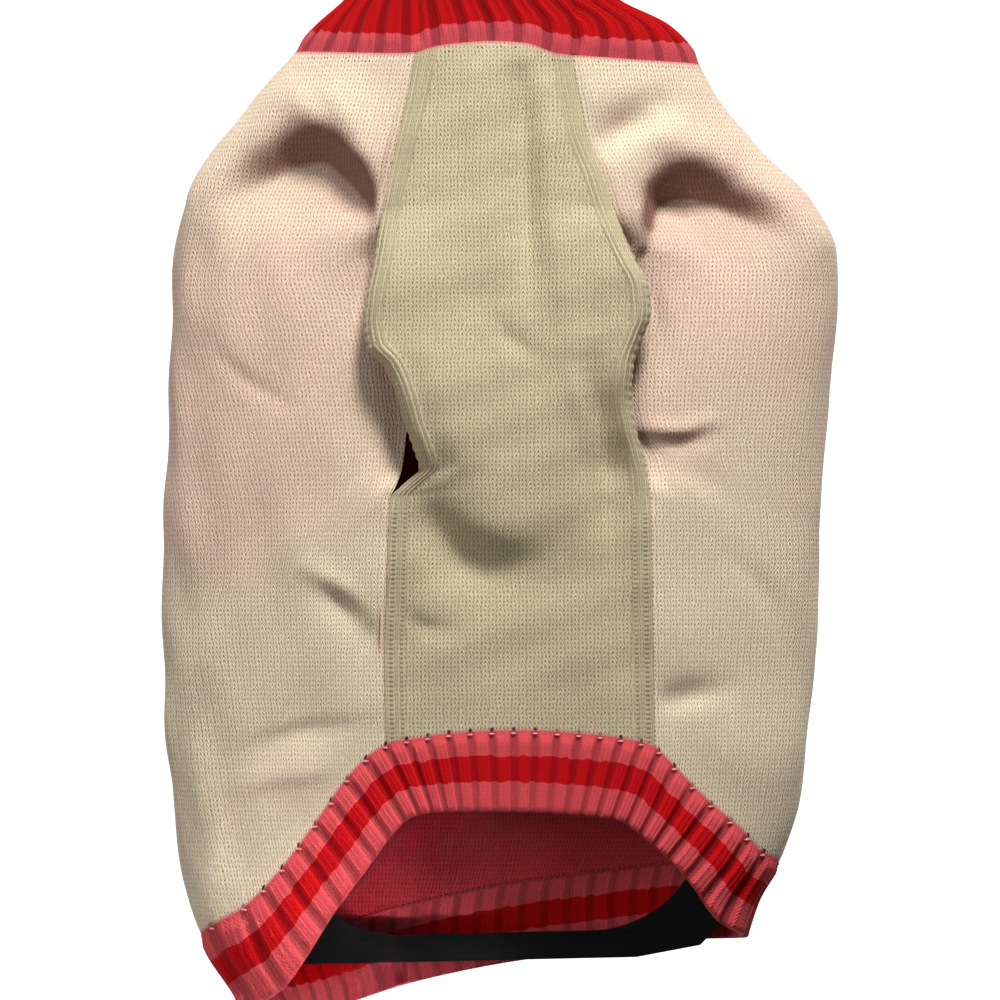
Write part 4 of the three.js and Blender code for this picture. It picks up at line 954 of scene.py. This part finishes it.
GUTTER = 0.9
STITCH_DROP = 0.75
STITCH_HALF_LENGTH = 0.95
STITCH_RADIUS = 0.36
STITCH_RINGS, STITCH_SIDES = 7, 8
pale_link_yarn = spun_yarn("pale pink acrylic linking yarn", "#F2AFAE", "#D4686E")
stitches = []
around = np.linspace(0, 2 * math.pi, STITCH_SIDES, endpoint=False)
for rib in np.arange(HEM_RIBS) + GUTTER:
    turn, top = float(hem_edge["top_turn"](rib)), float(hem_edge["top_drop"](rib)) + STITCH_DROP
    up = tube_normal(turn, top)
    middle = tube_point(turn, top)
    ahead = tube_point(hem_edge["top_turn"](rib + 0.1), top) - middle
    ahead /= np.linalg.norm(ahead)
    side = np.cross(up, ahead)
    reach = np.linspace(-1, 1, STITCH_RINGS)
    size = np.sqrt(np.clip(1 - reach**2, 0.02, 1)) * STITCH_RADIUS
    path = middle + ahead * (reach * STITCH_HALF_LENGTH)[:, None] + up * (0.12 + size[:, None] * 0.3)
    ring = side * np.cos(around)[:, None] + up * np.sin(around)[:, None]
    points = (path[:, None] + ring[None] * size[:, None, None]).reshape(-1, 3)
    number = np.arange(STITCH_RINGS * STITCH_SIDES).reshape(STITCH_RINGS, STITCH_SIDES)
    beside = np.roll(number, -1, 1)
    faces = np.stack([number[:-1], beside[:-1], beside[1:], number[1:]], -1)
    stitches.append((points, faces.reshape(-1, 4)))
link_stitches = yarn_piece("hem_linking_stitches", stitches, pale_link_yarn)

# Hanger. Black polystyrene moulded in one shot: glossy, with a fine orange-peel and soft handling scuffs.
def moulded_black(name):
    """Injection-moulded polystyrene: a smooth dark gloss that breaks up a little in the highlights."""
    material, node, shader, place = bare_material(name)
    scuff = node("ShaderNodeTexNoise", {"Vector": place, "Scale": 90.0, "Detail": 5.0})
    tint = ramp(node, scuff, (0.35, "#060505"), (0.7, "#0C0A0A"))
    gloss = node("ShaderNodeMapRange", {0: scuff, 1: 0.3, 2: 0.75, 3: 0.13, 4: 0.18})
    peel = node("ShaderNodeTexNoise", {"Vector": place, "Scale": 420.0, "Detail": 1.0})
    bump = node("ShaderNodeBump", {"Height": peel, "Strength": 0.05, "Distance": 0.3 * MM})
    fill(shader, {"Base Color": tint, "Roughness": gloss, "Normal": bump, "IOR": 1.59, "Specular IOR Level": 0.5})
    return material


hanger_plastic = moulded_black("black polystyrene, moulded")
hanger = bpy.data.objects["hanger"]
hanger.data.materials.clear()
hanger.data.materials.append(hanger_plastic)

# The studio: a plain white wall far behind, a key light from above the camera, a weak fill from the left and a
# small light into the hem. The wall stands so far away that the part is also seen from behind.
WALL_AWAY, WALL_HALF_WIDTH, WALL_HALF_HEIGHT = 6.0, 15.0, 10.0
corners = ((-1, -1), (1, -1), (1, 1), (-1, 1))
wall_corners = [(across * WALL_HALF_WIDTH, WALL_AWAY, up * WALL_HALF_HEIGHT) for across, up in corners]
wall_mesh = bpy.data.meshes.new("studio_wall")
wall_mesh.from_pydata(wall_corners, [], [(0, 1, 2, 3)])
wall = in_scene("studio_wall", wall_mesh)
# Matt wall paint, which glows so that it stays an even white behind the part
paint = bpy.data.materials.new("matt white studio paint")
paint.use_nodes = True
paint_shader = paint.node_tree.nodes["Principled BSDF"]
fill(paint_shader, {"Base Color": linear("#F6F6F6"), "Roughness": 1.0, "Specular IOR Level": 0.0})
fill(paint_shader, {"Emission Color": (1, 1, 1, 1), "Emission Strength": 1.15})
wall_mesh.materials.append(paint)

# The camera looks along +Y at the middle of the photograph, whose rows are counted from its top
MM_PER_PIXEL = 0.316
PICTURE_PIXELS = 1000
NECK_SEAM_ROW = 52
CAMERA_AWAY = 2.6
frame_width = PICTURE_PIXELS * MM_PER_PIXEL * MM
middle_z = (NECK_SEAM_Z - (PICTURE_PIXELS / 2 - NECK_SEAM_ROW) * MM_PER_PIXEL) * MM
camera_data = bpy.data.cameras.new("camera")
camera_data.sensor_width = 36
camera_data.lens = 36 * CAMERA_AWAY / frame_width
camera_data.clip_start, camera_data.clip_end = 0.05, 50
camera = in_scene("camera", camera_data)
camera.location = (0, -CAMERA_AWAY, middle_z)
camera.rotation_euler = (math.pi / 2, 0, 0)
bpy.context.scene.camera = camera


def softbox(name, place, target, size, watts, spread_deg):
    light = bpy.data.lights.new(name, "AREA")
    light.shape = "RECTANGLE"
    light.size, light.size_y = size
    light.energy = watts
    light.spread = math.radians(spread_deg)
    lamp = in_scene(name, light)
    lamp.location = place
    aim = np.array(target) - np.array(place)
    yaw = math.atan2(-aim[0], aim[1])
    pitch = math.atan2(aim[2], math.hypot(aim[0], aim[1]))
    lamp.rotation_euler = (pitch + math.pi / 2, 0, yaw)


softbox("key_softbox", (0.38, -1.05, 1.75), (0, 0, -0.25), (0.5, 0.5), 68, 180)
softbox("front_fill", (-0.95, -1.45, -0.05), (0, 0, -0.25), (1.0, 1.0), 8, 180)
softbox("mouth_light", (0.34, -1.0, -0.56), (-0.06, 0.02, -0.375), (0.08, 0.08), 0.016, 5)
world = bpy.data.worlds.new("studio")
world.use_nodes = True
fill(world.node_tree.nodes["Background"], {"Color": (1, 1, 1, 1), "Strength": 0.06})
bpy.context.scene.world = world
bpy.context.scene.view_settings.view_transform = "Standard"
